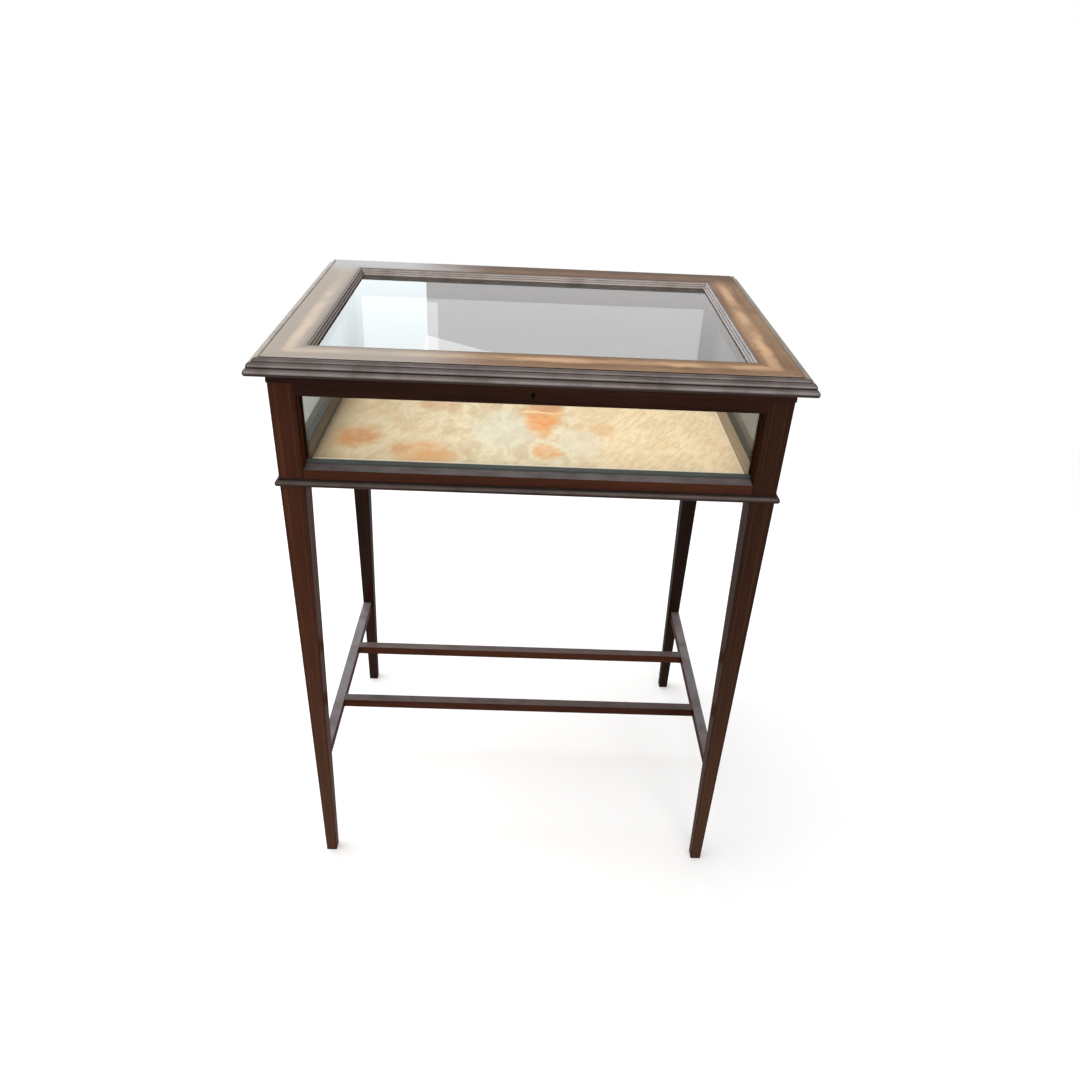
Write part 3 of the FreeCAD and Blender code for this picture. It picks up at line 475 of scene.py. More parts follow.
def make_mahogany(name, run, tones=DARK, dust_and_sheen_colour=GREY_DUST_AND_SHEEN, dust_and_sheen_amount=0.6, steepest=0.55,
                  flattest=0.95, on_tops=1.0, arris=0.0012, wear_and_groove_shade=0.7, evenness=0.55,
                  sides=0.10, tops=0.35, strung=False):
    """Mahogany whose grain runs along x, y or z. The tones are its deep and its pale streaks."""
    material, tree, shader = new_material(f"{name} along {run}", Specular_IOR_Level=0.0,
                                          Coat_Roughness=0.20)
    source, turned = grain_coordinates(tree, run)
    grain = place_group(tree, grain_group, Vector=turned, Deep=tones[0], Pale=tones[1],
                        Contrast=0.7, Pores=0.40)
    edge = place_group(tree, edge_and_groove_shade_group, Vector=source["Object"], Radius=arris,
                       Evenness=evenness)
    dust_and_sheen = place_group(tree, dust_and_sheen_group, Vector=source["Object"], Normal=source["Normal"],
                       Amount=dust_and_sheen_amount, Steepest=steepest, Flattest=flattest,
                       On_Tops=on_tops)
    polish = place_group(tree, polish_group, Vector=source["Object"], Normal=source["Normal"],
                         Sides=sides, Tops=tops)
    wood = grain["Color"]
    if strung:
        wood = string_scuff_and_shade(tree, source, wood)
    # Dust, and on tops and noses also a painted sheen of the polish, mixed in as grey.
    wood = blend(tree, dust_and_sheen["Mask"], wood, dust_and_sheen_colour)
    wood = blend(tree, times(tree, edge["Mask"], wear_and_groove_shade), wood, WORN_EDGE_AND_GROOVE_SHADE)
    rough = plus(tree, times(tree, grain["Streaks"], 0.12),
                 plus(tree, times(tree, dust_and_sheen["Mask"], 0.25), 0.40))
    feed(tree, shader, Base_Color=wood, Roughness=rough, Coat_Weight=polish["Film"],
         Normal=bump(tree, grain["Height"], 0.00006, 0.6, Normal=edge["Normal"]))
    return material


rails = {run: make_mahogany("Polished mahogany", run) for run in ("x", "y")}
print("first finish:", rails["x"].name, "with", len(rails["x"].node_tree.nodes), "nodes")

# %% [markdown]
# The rails under the lid stand in its shade, and their darker tones are painted shade. The long
# stretchers are out of the dust's way. The side ones are thick with dust, and its grey on their
# tops is partly painted sheen. The legs are scuffed paler towards the feet, their arrises are the
# darkest of all, and the two at the back are darker still with painted shade.

# %% The rails, stretchers and legs
# Painted shade: darker tones for the rails and frieze that sit under the lid.
rails_in_painted_shade = {run: make_mahogany("Mahogany with painted shade", run,
                                   tones=(colour(27, 11, 6), colour(57, 29, 17)))
                for run in ("x", "y")}
long_stretchers = make_mahogany("Dark mahogany", "x", dust_and_sheen_amount=0.38)
# The side stretchers' heavy grey is dust and painted sheen.
side_stretchers = make_mahogany("Dusty mahogany with painted sheen", "y", dust_and_sheen_colour=colour(134, 132, 136),
                                dust_and_sheen_amount=0.74)
legs = {"left": make_mahogany("Strung mahogany", "z", strung=True, arris=0.0040, wear_and_groove_shade=0.85,
                              tones=(colour(41, 19, 11), colour(83, 45, 28))),
        "right": make_mahogany("Dark strung mahogany", "z", strung=True, arris=0.0040, wear_and_groove_shade=0.9,
                               tones=(colour(31, 16, 9), colour(61, 34, 20)))}
print("legs:", [leg.name for leg in legs.values()])

# %% [markdown]
# A reeded moulding is a row of half rounds side by side. The pale grey on their noses is painted
# sheen, laid on through the dust and sheen mask on the faces that look forward and out, and the
# darkened hollow edges in the grooves between them are painted shade. Each row of reeds has its
# own story: those at the ends of the lid are faded like the bars beside them, and the ones round
# the glass carry painted sheen, pale grey on the right and silver at the back. All share one set
# of values for the noses, and each then says only how it differs.

# %% The mouldings
# Painted sheen and painted shade: the mask lies pale on the forward noses, and the wide arris
# darkens the grooves.
PAINTED_SHEEN_AND_GROOVE_SHADE = {"steepest": -0.20, "flattest": 0.20, "on_tops": 0.35, "arris": 0.0022, "wear_and_groove_shade": 1.0,
         "evenness": 0.85, "sides": 0.25}
front_reeds = make_mahogany("Reeded mahogany", "x", dust_and_sheen_colour=colour(149, 140, 137),
                            tones=(colour(32, 21, 17), colour(62, 46, 39)), dust_and_sheen_amount=0.85,
                            **PAINTED_SHEEN_AND_GROOVE_SHADE)
base_mouldings = {run: make_mahogany("Rounded mahogany", run, dust_and_sheen_colour=colour(112, 103, 98),
                                     tones=(colour(32, 18, 12), colour(58, 36, 27)),
                                     dust_and_sheen_amount=0.50, **PAINTED_SHEEN_AND_GROOVE_SHADE) for run in ("x", "y")}
end_reeds = {side: make_mahogany(
    f"Faded {side} reeds", "y", dust_and_sheen_colour=dust_and_sheen, tones=(colour(52, 38, 30), colour(88, 70, 58)),
    dust_and_sheen_amount=0.8, **{**PAINTED_SHEEN_AND_GROOVE_SHADE, "on_tops": 1.0})
    for side, dust_and_sheen in (("left", colour(158, 146, 134)), ("right", colour(134, 120, 106)))}
# The right moulding's pale grey tones are painted sheen.
SIGHT_TONES = {"back": (colour(84, 70, 61), colour(138, 120, 109)),
               "left": (colour(70, 58, 48), colour(122, 108, 94)),
               "right": (colour(120, 114, 112), colour(176, 170, 168))}
SIGHT_TONES["front"] = SIGHT_TONES["back"]
RUBBED = {"dust_and_sheen_amount": 0.25, "wear_and_groove_shade": 1.0}
# Painted reflection: the back moulding's forward faces are mixed towards a near white grey.
PAINTED_BACK_REFLECTION = {"dust_and_sheen_colour": colour(208, 203, 200), "dust_and_sheen_amount": 0.8, "steepest": -0.5,
            "flattest": 0.0, "on_tops": 0.15, "wear_and_groove_shade": 0.6}
sight_mouldings = {side: make_mahogany(
    f"Glossy {side} moulding", "x" if side in ("front", "back") else "y", tones=tones,
    evenness=0.85, sides=0.45, tops=0.45, **(PAINTED_BACK_REFLECTION if side == "back" else RUBBED))
    for side, tones in SIGHT_TONES.items()}
print("mouldings round the glass:", [moulding.name for moulding in sight_mouldings.values()])

# %% [markdown]
# The slim beads that hold the glass sit inside the case. They were never polished, so they are
# dull. Along the bottom they are greyed by dust at the front and back, and have faded to olive at
# the left end and to tan at the right. The same mahogany recipe would give them a gloss that they
# don't have, so they get a shorter one, in which height alone tells the dusty ledge from the
# upright sticks.

# %% The glass beads
LEDGE_SOFTNESS = 0.002
LEDGE_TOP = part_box("bottom_rail_left")[1].z + LEDGE_SOFTNESS


def make_bead(name, run, faded_deep, faded_pale):
    material, tree, shader = new_material(name, Specular_IOR_Level=0.0)
    source, turned = grain_coordinates(tree, run)
    grain = place_group(tree, grain_group, Vector=turned, Deep=colour(24, 13, 9),
                        Pale=colour(52, 32, 22), Contrast=0.6, Pores=0.3)
    height = parts_of(tree, source["Object"])["Z"]
    ledge = fade(tree, height, LEDGE_TOP + LEDGE_SOFTNESS, LEDGE_TOP, 0.0, 0.9)
    faded_wood = blend(tree, grain["Streaks"], faded_deep, faded_pale)
    feed(tree, shader, Base_Color=blend(tree, ledge, grain["Color"], faded_wood),
         Roughness=plus(tree, times(tree, grain["Streaks"], 0.1), 0.62),
         Normal=bump(tree, grain["Height"], 0.00005, 0.5))
    return material


beads = {"left": make_bead("Olive bead", "y", colour(76, 58, 32), colour(98, 76, 46)),
         "right": make_bead("Tan bead", "y", colour(148, 126, 96), colour(178, 154, 120)),
         "x": make_bead("Grey bead", "x", colour(78, 82, 78), colour(100, 104, 100))}
print("ledge of the beads at", round(LEDGE_TOP, 4))

# %% [markdown]
# The flat bars of the lid have lost most of their dark polish to sunlight, and the bar at the back
# has kept the most of its colour. Over the left part a pale grey is laid on as a painted
# reflection of the window in the polish. Painting this by hand would need a map for each bar. One
# set of coordinates runs through all four, so asking each point where it lies does them all at
# once, and they meet at the mitres.

# %% The sun and the painted reflection on the lid bars
BACK_BAR = (0.135, 0.185)           # along Y: where the bar at the back begins, and is reached
WINDOW_REFLECTION_X = (-0.02, -0.13)           # along X: where the painted reflection begins, and is at its full


def fade_and_paint_reflection(tree, where, place, at_back, wood):
    """The wood as the sun left it with a painted reflection on its left part, and how far each
    point carries it.
    """
    blotches = fade(tree, cloud(tree, where, 11, 5, 0.4), 0.50, 0.72, 0.0, 0.45)
    wood = blend(tree, blotches, wood, colour(92, 62, 40))
    wood = blend(tree, times(tree, at_back, 0.80), wood, colour(76, 56, 45))
    wander = shift(tree, cloud(tree, where, 8, 3), 0.10)
    from_left = plus(tree, plus(tree, place["X"], wander), times(tree, at_back, 0.05))
    # Painted reflection: the left part of the bars turns pale grey.
    painted_reflection = times(tree, fade(tree, from_left, *WINDOW_REFLECTION_X), 0.75)
    pale = blend(tree, at_back, colour(150, 142, 132), colour(172, 174, 176))
    return blend(tree, painted_reflection, wood, pale), painted_reflection


print("painted reflection begins", -WINDOW_REFLECTION_X[0], "m left of the middle")

# %% [markdown]
# A band of paler wood is let in along the middle of each bar. It could be a solid strip, as it is
# on the real table, but it is flush with the bar and so worn that its edges have gone soft, and
# only a material shows that. It keeps the same distance from the opening on all four bars and
# turns the corner on the mitre, so that distance is all the material has to know. Between the band
# and the glass, the wood is grubby.

# %% The band in the lid bars
GLASS_OPENING = {"x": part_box("lid_sight_moulding_right")[1].x,
                 "y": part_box("lid_sight_moulding_back")[1].y}
BAND_FROM_OPENING = 0.0162
BAND_WIDTH = 0.013
GRUBBY_WIDTH = 0.007


def let_in_the_band(tree, where, turned, place, at_back, painted_reflection, wood, run):
    """The wood with its band, and the patches in which the band has worn away."""
    across = "Y" if run == "x" else "X"
    from_middle = maths(tree, "ABSOLUTE", place[across])
    opening = GLASS_OPENING[across.lower()]
    ragged = shift(tree, cloud(tree, turned, 45, 4, 0.5), 0.008)
    off = plus(tree, minus(tree, from_middle, opening + BAND_FROM_OPENING), ragged)
    off = maths(tree, "ABSOLUTE", off)
    band = times(tree, fade(tree, off, BAND_WIDTH * 0.75, BAND_WIDTH * 0.15),
                 fade(tree, at_back, 0.0, 1.0, 1.0, 0.2))
    lost = times(tree, painted_reflection, fade(tree, place["Y"], 0.02, 0.12))
    band = times(tree, band, minus(tree, 1.0, lost))
    patches = fade(tree, cloud(tree, where, 18, 4), 0.30, 0.68, 0.20, 0.66)
    wood = blend(tree, times(tree, band, patches), wood, blend(
        tree, painted_reflection, colour(206, 168, 128), colour(192, 176, 158)))
    grubby = fade(tree, from_middle, opening + GRUBBY_WIDTH, opening, 0.0, 0.5)
    return blend(tree, grubby, wood, colour(88, 64, 48)), patches


print("glass opening, half sizes:", {k: round(v, 4) for k, v in GLASS_OPENING.items()})

# %% [markdown]
# Only the tops of the bars caught the sun, so their upright faces are still as dark as the rest of
# the table. Two materials would need the faces sorted by hand. The way a face points already
# tells them apart, so one material mixes both.

# %% The faded lid bars
def make_faded(run):
    material, tree, shader = new_material(f"Faded mahogany along {run}",
                                          Specular_IOR_Level=0.0, Coat_Roughness=0.28,
                                          Coat_Weight=0.2)
    source, turned = grain_coordinates(tree, run)
    where = source["Object"]
    grain = place_group(tree, grain_group, Vector=turned, Deep=colour(104, 76, 52),
                        Pale=colour(156, 124, 94), Contrast=0.8, Pores=0.35)
    edge = place_group(tree, edge_and_groove_shade_group, Vector=where, Radius=0.0010, Evenness=0.7)
    place = parts_of(tree, where)
    at_back = fade(tree, place["Y"], *BACK_BAR)
    wood, painted_reflection = fade_and_paint_reflection(tree, where, place, at_back, grain["Color"])
    wood, patches = let_in_the_band(tree, where, turned, place, at_back, painted_reflection, wood, run)
    up = parts_of(tree, source["Normal"])["Z"]
    unfaded = blend(tree, grain["Streaks"], *DARK)
    wood = blend(tree, fade(tree, up, 0.3, 0.7), unfaded, wood)
    wood = blend(tree, times(tree, edge["Mask"], 0.8), wood, colour(46, 32, 25))
    feed(tree, shader, Base_Color=wood,
         Roughness=plus(tree, times(tree, patches, 0.14), 0.45),
         Normal=bump(tree, grain["Height"], 0.00008, 0.6, Normal=edge["Normal"]))
    return material


faded = {run: make_faded(run) for run in ("x", "y")}
print("made", [bar.name for bar in faded.values()])

# %% [markdown]
# ## Glass
#
# Old sheet glass is clear with a trace of green, and the lid's carries a film of dust. No two
# panes come from the same sheet, and the tint shows most at a low angle. A glass shader alone
# would leave the inside of the case black, because light that is bent on its way in is hard to
# find for a renderer. So for shadow and diffuse rays the glass is nearly absent, through Alpha,
# while the eye still gets its gloss and refraction.
#
# How much a pane mirrors follows from how far it bends light. Real sheet glass is near 1.5, and
# the lid has that. The upright panes stand in a room that is white all round, far whiter than a
# real one, and at 1.5 its reflection would veil the cloth, so they bend light less.

# %% The glass materials
SHEET_GLASS = 1.5
LESS_BENDING = {"front": 1.28, "end": 1.15}
LET_THROUGH = 0.94                  # share of shadow and diffuse rays that meet no glass


def make_glass(name, tint, edge_tint, film, bending):
    material, tree, shader = new_material(
        name, IOR=bending, Transmission_Weight=1.0, Metallic=0.0)
    source = add_node(tree, "TexCoord").outputs
    rays = add_node(tree, "LightPath").outputs
    soft = maths(tree, "MAXIMUM", rays["Is Shadow Ray"], rays["Is Diffuse Ray"])
    low_angle = add_node(tree, "LayerWeight", {"Blend": 0.5}).outputs["Facing"]
    body = blend(tree, fade(tree, low_angle, 0.25, 0.72), tint, edge_tint)
    smear = fade(tree, cloud(tree, source["Object"], 9, 5, 1.0), 0.45, 0.70, 0.0, film)
    feed(tree, shader, Base_Color=body, Roughness=smear,
         Alpha=minus(tree, 1.0, times(tree, soft, LET_THROUGH)))
    return material


CLEAR = colour(246, 250, 248)
panes = {"front": make_glass("Clear sheet glass", CLEAR, colour(214, 222, 216), 0.0,
                             LESS_BENDING["front"]),
         "left": make_glass("Pale green sheet glass", CLEAR, colour(120, 128, 120), 0.0,
                            LESS_BENDING["end"]),
         "right": make_glass("Green sheet glass", CLEAR, colour(56, 60, 54), 0.0,
                             LESS_BENDING["end"]),
         "lid": make_glass("Dusty sheet glass", colour(240, 244, 243), colour(80, 81, 81), 0.04,
                           SHEET_GLASS)}
panes["back"] = panes["front"]
print("kinds of glass:", sorted({glass.name for glass in panes.values()}))

# %% [markdown]
# ## Metal and softwood
#
# The hinges, the lock and the keyhole's liner are brass that nobody has polished for years, and
# the screws are plain steel. The liner is made near black, as painted shade for the dark of the
# keyhole. One flat colour each would do while the lid is shut, but with the lid up they lie in
# plain view. They are metal all over, and what varies is how far they have dulled, so a group
# mixes a bright and a dull tone in spots, and wear brightens the edges again.

# %% Brass and steel
def make_tarnish_group():
    tree, given, result = new_group("Tarnish", {
        "Vector": ("vector", None), "Bright": ("colour", None), "Dull": ("colour", None)},
        {"Color": "colour", "Roughness": "float"})
    spots = cloud(tree, given["Vector"], 130, 5, 0.3)
    dulled = fade(tree, spots, 0.30, 0.70)
    tree.links.new(blend(tree, dulled, given["Bright"], given["Dull"]), result["Color"])
    tree.links.new(plus(tree, times(tree, dulled, 0.25), 0.28), result["Roughness"])
    return tree


tarnish_group = make_tarnish_group()


def make_metal(name, bright, dull):
    material, tree, shader = new_material(name, Metallic=1.0)
    source = add_node(tree, "TexCoord").outputs
    worn = place_group(tree, tarnish_group, Vector=source["Object"], Bright=bright, Dull=dull)
    edge = place_group(tree, edge_and_groove_shade_group, Vector=source["Object"], Radius=0.0003, Evenness=0.8)
    feed(tree, shader, Base_Color=blend(tree, times(tree, edge["Mask"], 0.5),
                                        worn["Color"], bright),
         Roughness=worn["Roughness"], Normal=edge["Normal"])
    return material


brass = make_metal("Dull brass", colour(176, 142, 84), colour(120, 94, 56))
# Painted shade: the keyhole's liner is near black, for the dark of the hole.
keyhole_shade_brass = make_metal("Brass darkened as keyhole shade", colour(46, 36, 26), colour(18, 14, 11))
steel = make_metal("Plain steel", colour(150, 148, 144), colour(78, 72, 66))
print("metals:", [metal.name for metal in (brass, keyhole_shade_brass, steel)])

# %% [markdown]
# The board under the lining is plain softwood, and is seen only from below. Its grain could have
# had a recipe of its own, with knots and rings. So little of it shows that the mahogany's grain in
# the colours of pine, grimy in places, is enough.

# %% The softwood board
def make_pine():
    material, tree, shader = new_material("Softwood board", Specular_IOR_Level=0.3)
    source, turned = grain_coordinates(tree, "x")
    grain = place_group(tree, grain_group, Vector=turned, Deep=colour(150, 112, 74),
                        Pale=colour(196, 160, 112), Contrast=0.8, Pores=0.15)
    grime = fade(tree, cloud(tree, source["Object"], 7, 4), 0.35, 0.75, 0.0, 0.5)
    feed(tree, shader, Base_Color=blend(tree, grime, grain["Color"], colour(96, 70, 48)),
         Roughness=plus(tree, times(tree, grain["Streaks"], 0.2), 0.6),
         Normal=bump(tree, grain["Height"], 0.0001, 0.5))
    return material


pine = make_pine()
print("made", pine.name)

# %% [markdown]
# ## The damask lining
#
# A thin pad on the floor of the case is covered with cream damask. A cloth simulation has nothing
# to do on a pad four millimetres thick, held flat by its board, so the pad is modelled. It starts
# as a grid at the height of the cloth and is extruded down to a slab. The grid is fine enough to
# take the roll of the rim and the slight hollows that come next.

# %% Model the slab
GRID = (126, 88)
lining_low, lining_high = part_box("base_lining")
lining_size = lining_high - lining_low


def model_slab():
    bpy.ops.object.select_all(action="DESELECT")
    bpy.ops.mesh.primitive_grid_add(
        x_subdivisions=GRID[0], y_subdivisions=GRID[1], size=1,
        location=((lining_low.x + lining_high.x) / 2, (lining_low.y + lining_high.y) / 2,
                  lining_high.z))
    slab = bpy.context.object
    slab.name = "damask_lining"
    slab.scale = (lining_size.x, lining_size.y, 1)
    bpy.ops.object.transform_apply(location=True, rotation=True, scale=True)
    bpy.ops.object.mode_set(mode="EDIT")
    bpy.ops.mesh.select_all(action="SELECT")
    bpy.ops.mesh.extrude_region_move(
        TRANSFORM_OT_translate={"value": (0, 0, -lining_size.z)})
    bpy.ops.mesh.select_all(action="SELECT")
    bpy.ops.mesh.normals_make_consistent(inside=False)
    bpy.ops.object.mode_set(mode="OBJECT")
    return slab


lining = model_slab()
print("slab:", [round(side, 4) for side in lining.dimensions])

# %% [markdown]
# The cloth is pulled over the pad's edges, so the rim is rounded. The top is not quite flat: it
# has sunk a little where the padding gave way, and puckers where the cloth was pulled tight. A
# sculpting brush could do this, but a few lines that lower each point of the top by its place
# give the same pad every time.

# %% Roll the rim and press the top
RIM = 0.002
RIM_DROP = 0.1                      # share of the thickness that the rim is lower by
HOLLOW = 0.0005
HOLLOWS_PER_METRE = 14
HOLLOW_PATTERN = 0.3                # another number gives another set of hollows
PUCKER = 0.0002
PUCKER_FREQUENCY = (130, 117)       # radians per metre, so about 20 puckers to the metre
PUCKER_REACH = 0.03


def lowered(place):
    """The height of a point of the top after the rim is rolled and the top pressed."""
    inset = min(place.x - lining_low.x, lining_high.x - place.x,
                place.y - lining_low.y, lining_high.y - place.y)
    share = min(1.0, inset / RIM)
    roll = math.sqrt(max(0.0, 1 - (1 - share) ** 2))
    pull = (math.sin(place.x * PUCKER_FREQUENCY[0]) * math.sin(place.y * PUCKER_FREQUENCY[1])
            * math.exp(-inset / PUCKER_REACH))
    press = noise.noise(Vector((place.x * HOLLOWS_PER_METRE, place.y * HOLLOWS_PER_METRE,
                                HOLLOW_PATTERN)))
    sink = HOLLOW * (0.5 + 0.5 * press) + PUCKER * (0.5 + 0.5 * pull)
    return lining_low.z + lining_size.z * (1 - RIM_DROP + RIM_DROP * roll) - sink * share


top = [vertex for vertex in lining.data.vertices
       if vertex.co.z >= lining_high.z - lining_size.z / 2]
for vertex in top:
    vertex.co.z = lowered(vertex.co)
heights = [vertex.co.z for vertex in top]
print("top of the lining lies between", round(min(heights), 4), "and", round(max(heights), 4))

# %% [markdown]
# The pad is smooth cloth all over except where its sides meet its top and its underside. Marking
# those edges sharp keeps the shading from smearing round them. Then the piece takes the place of
# the plain solid and stays with the case.

# %% Finish the lining
SHARP_FROM = math.radians(50)
bpy.ops.object.shade_smooth()
bpy.ops.object.mode_set(mode="EDIT")
bpy.ops.mesh.select_all(action="DESELECT")
bpy.ops.mesh.edges_select_sharp(sharpness=SHARP_FROM)
bpy.ops.mesh.mark_sharp()
bpy.ops.object.mode_set(mode="OBJECT")
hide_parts("base_lining")
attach(lining, "case")
print("lining has", len(lining.data.polygons), "faces")

# %% [markdown]
# Things stood on the cloth for years and left rings of rust and damp. They could be painted on a
# picture of the cloth, but one group can draw any of them: a soft patch with a place, a size and
# a taper of its own, whose outline is pushed about with noise so that no two look alike.

# %% The stain group
OUTLINE_WANDER = (0.022, 0.030, 0)


def make_stain_group():
    tree, given, result = new_group("Damp stain", {
        "Vector": ("vector", None), "Place": ("vector", None), "Size": ("vector", (1, 1, 1)),
        "Taper": ("float", 0.0)}, {"Mask": "float"})
    wander = add_node(tree, "TexNoise", {"Vector": given["Vector"], "Scale": 45.0,
                                         "Detail": 4.0}).outputs["Color"]
    wander = vector_maths(tree, "MULTIPLY", vector_maths(
        tree, "SUBTRACT", wander, (0.5, 0.5, 0.5)), OUTLINE_WANDER)
    offset = vector_maths(tree, "SUBTRACT", vector_maths(
        tree, "ADD", given["Vector"], wander), given["Place"])
    offset = vector_maths(tree, "DIVIDE", offset, given["Size"])
    parts = parts_of(tree, offset)
    squeeze = plus(tree, 1.0, times(tree, given["Taper"], times(tree, parts["Y"], -1.0)))
    flat = add_node(tree, "CombineXYZ", {
        0: times(tree, parts["X"], squeeze), 1: parts["Y"], 2: 0.0}).outputs[0]
    inside = fade(tree, vector_maths(tree, "LENGTH", flat), 1.22, 0.50)
    uneven = fade(tree, cloud(tree, given["Vector"], 70, 5), 0.32, 0.66, 0.65, 1.0)
    tree.links.new(times(tree, inside, uneven), result["Mask"])
    return tree


stain_group = make_stain_group()
print("built", stain_group.name)

# %% [markdown]
# Damask shows its figure only by the way its threads turn the light. Modelling the threads would
# take millions of faces, so the figure is a slight change of tone and of gloss, with the crossing
# threads as a fine bump. Where the darker threads come to the face they show as short strokes at
# a slant.

# %% The weave group
DRAWN_OUT = (1, 0.5, 1)             # the figure is twice as long as it is wide
STROKE_SLANT = math.radians(-60)
STROKE_STRETCH = (0.25, 1, 1)
THREAD_FREQUENCY = 9000.0           # radians per metre, so 1.4 threads to the millimetre


def make_weave_group():
    tree, given, result = new_group("Damask weave", {"Vector": ("vector", None)},
                                    {"Figure": "float", "Strokes": "float", "Height": "float"})
    drawn_out = vector_maths(tree, "MULTIPLY", given["Vector"], DRAWN_OUT)
    swirl = cloud(tree, drawn_out, 34, 3, 1.2)
    figure = fade(tree, maths(tree, "ABSOLUTE", minus(tree, swirl, 0.5)), 0.02, 0.12)
    slanted = add_node(tree, "Mapping", {"Vector": given["Vector"],
                                         "Rotation": (0, 0, STROKE_SLANT)}).outputs["Vector"]
    slanted = vector_maths(tree, "MULTIPLY", slanted, STROKE_STRETCH)
    strokes = fade(tree, cloud(tree, slanted, 230, 2, 0.4), 0.44, 0.60)
    parts = parts_of(tree, given["Vector"])
    warp = maths(tree, "SINE", times(tree, parts["X"], THREAD_FREQUENCY))
    weft = maths(tree, "SINE", times(tree, parts["Y"], THREAD_FREQUENCY))
    threads = plus(tree, times(tree, warp, 0.5), times(tree, weft, 0.5))
    tree.links.new(figure, result["Figure"])
    tree.links.new(strokes, result["Strokes"])
    tree.links.new(plus(tree, times(tree, threads, 0.3), figure), result["Height"])
    return tree


weave_group = make_weave_group()
print("built", weave_group.name)

# %% [markdown]
# Each stain is one line of a list, so that it can be moved, widened or left out without touching
# the material. They are laid on in this order, and the narrow cream one wipes a line through the
# brown ones under it.

# %% The stains
CLOTH_HEIGHT = 0.625
CREAM = colour(244, 222, 170)
RUST = colour(238, 156, 78)
BROWN = colour(198, 142, 92)
TAN = colour(204, 136, 74)
SAND = colour(226, 166, 104)
GREY_CREAM = colour(226, 220, 202)
STAINS = [                          # place, size, taper, strength, tint
    ((-0.030, -0.060), (0.045, 0.060), 0.0, 0.60, GREY_CREAM),
    ((0.062, -0.090), (0.030, 0.050), 0.0, 0.38, GREY_CREAM),
    ((0.016, -0.026), (0.026, 0.056), 0.45, 1.0, RUST),
    ((0.016, 0.018), (0.030, 0.014), 0.0, 0.80, BROWN),
    ((0.016, 0.000), (0.034, 0.0045), 0.0, 0.90, CREAM),
    ((0.020, -0.119), (0.020, 0.020), 0.0, 0.68, RUST),
    ((-0.208, -0.095), (0.032, 0.031), 0.0, 0.90, TAN),
    ((-0.222, -0.100), (0.012, 0.012), 0.0, 0.70, TAN),
    ((-0.130, -0.128), (0.034, 0.032), 0.0, 0.90, SAND),
    ((-0.104, -0.142), (0.030, 0.020), 0.0, 0.80, SAND),
    ((-0.154, -0.122), (0.011, 0.017), 0.0, 0.55, TAN),
    ((0.092, -0.050), (0.018, 0.022), 0.0, 0.65, SAND),
    ((0.060, -0.045), (0.011, 0.014), 0.0, 0.35, SAND),
    ((-0.120, 0.010), (0.030, 0.022), 0.0, 0.50, TAN),
]


def lay_stains(tree, where, cloth):
    for place, size, taper, strength, tint in STAINS:
        mask = place_group(tree, stain_group, Vector=where, Place=(*place, CLOTH_HEIGHT),
                           Size=(*size, 1), Taper=taper)["Mask"]
        cloth = blend(tree, times(tree, mask, strength), cloth, tint)
    return cloth


print("stains on the damask:", len(STAINS))

# %% [markdown]
# The cloth under the stains is not one cream either. It has aged in drifts along the figure. Its
# golden right part is painted light, its browner left part is painted shade, and the brownest band
# along the left rim is painted shade too. At the right and the front, a paler line along the edge
# is a painted highlight on the folded hem. A gradient for each of these is easier to adjust than
# one painted map, and the last laid on wins.

# %% The damask material
PAINTED_LIGHT_RIGHT = (0.02, 0.12)               # along X: where each begins, and where it is at its full
HATCHED = (0.06, 0.14)
PAINTED_SHADE_LEFT = (-0.05, -0.25)
PAINTED_SHADE_RIM = (-0.205, -0.250)
HEM_HIGHLIGHT_RIGHT = (0.2455, 0.2470)
HEM_HIGHLIGHT_FRONT = (-0.1540, -0.1565)      # this one along Y


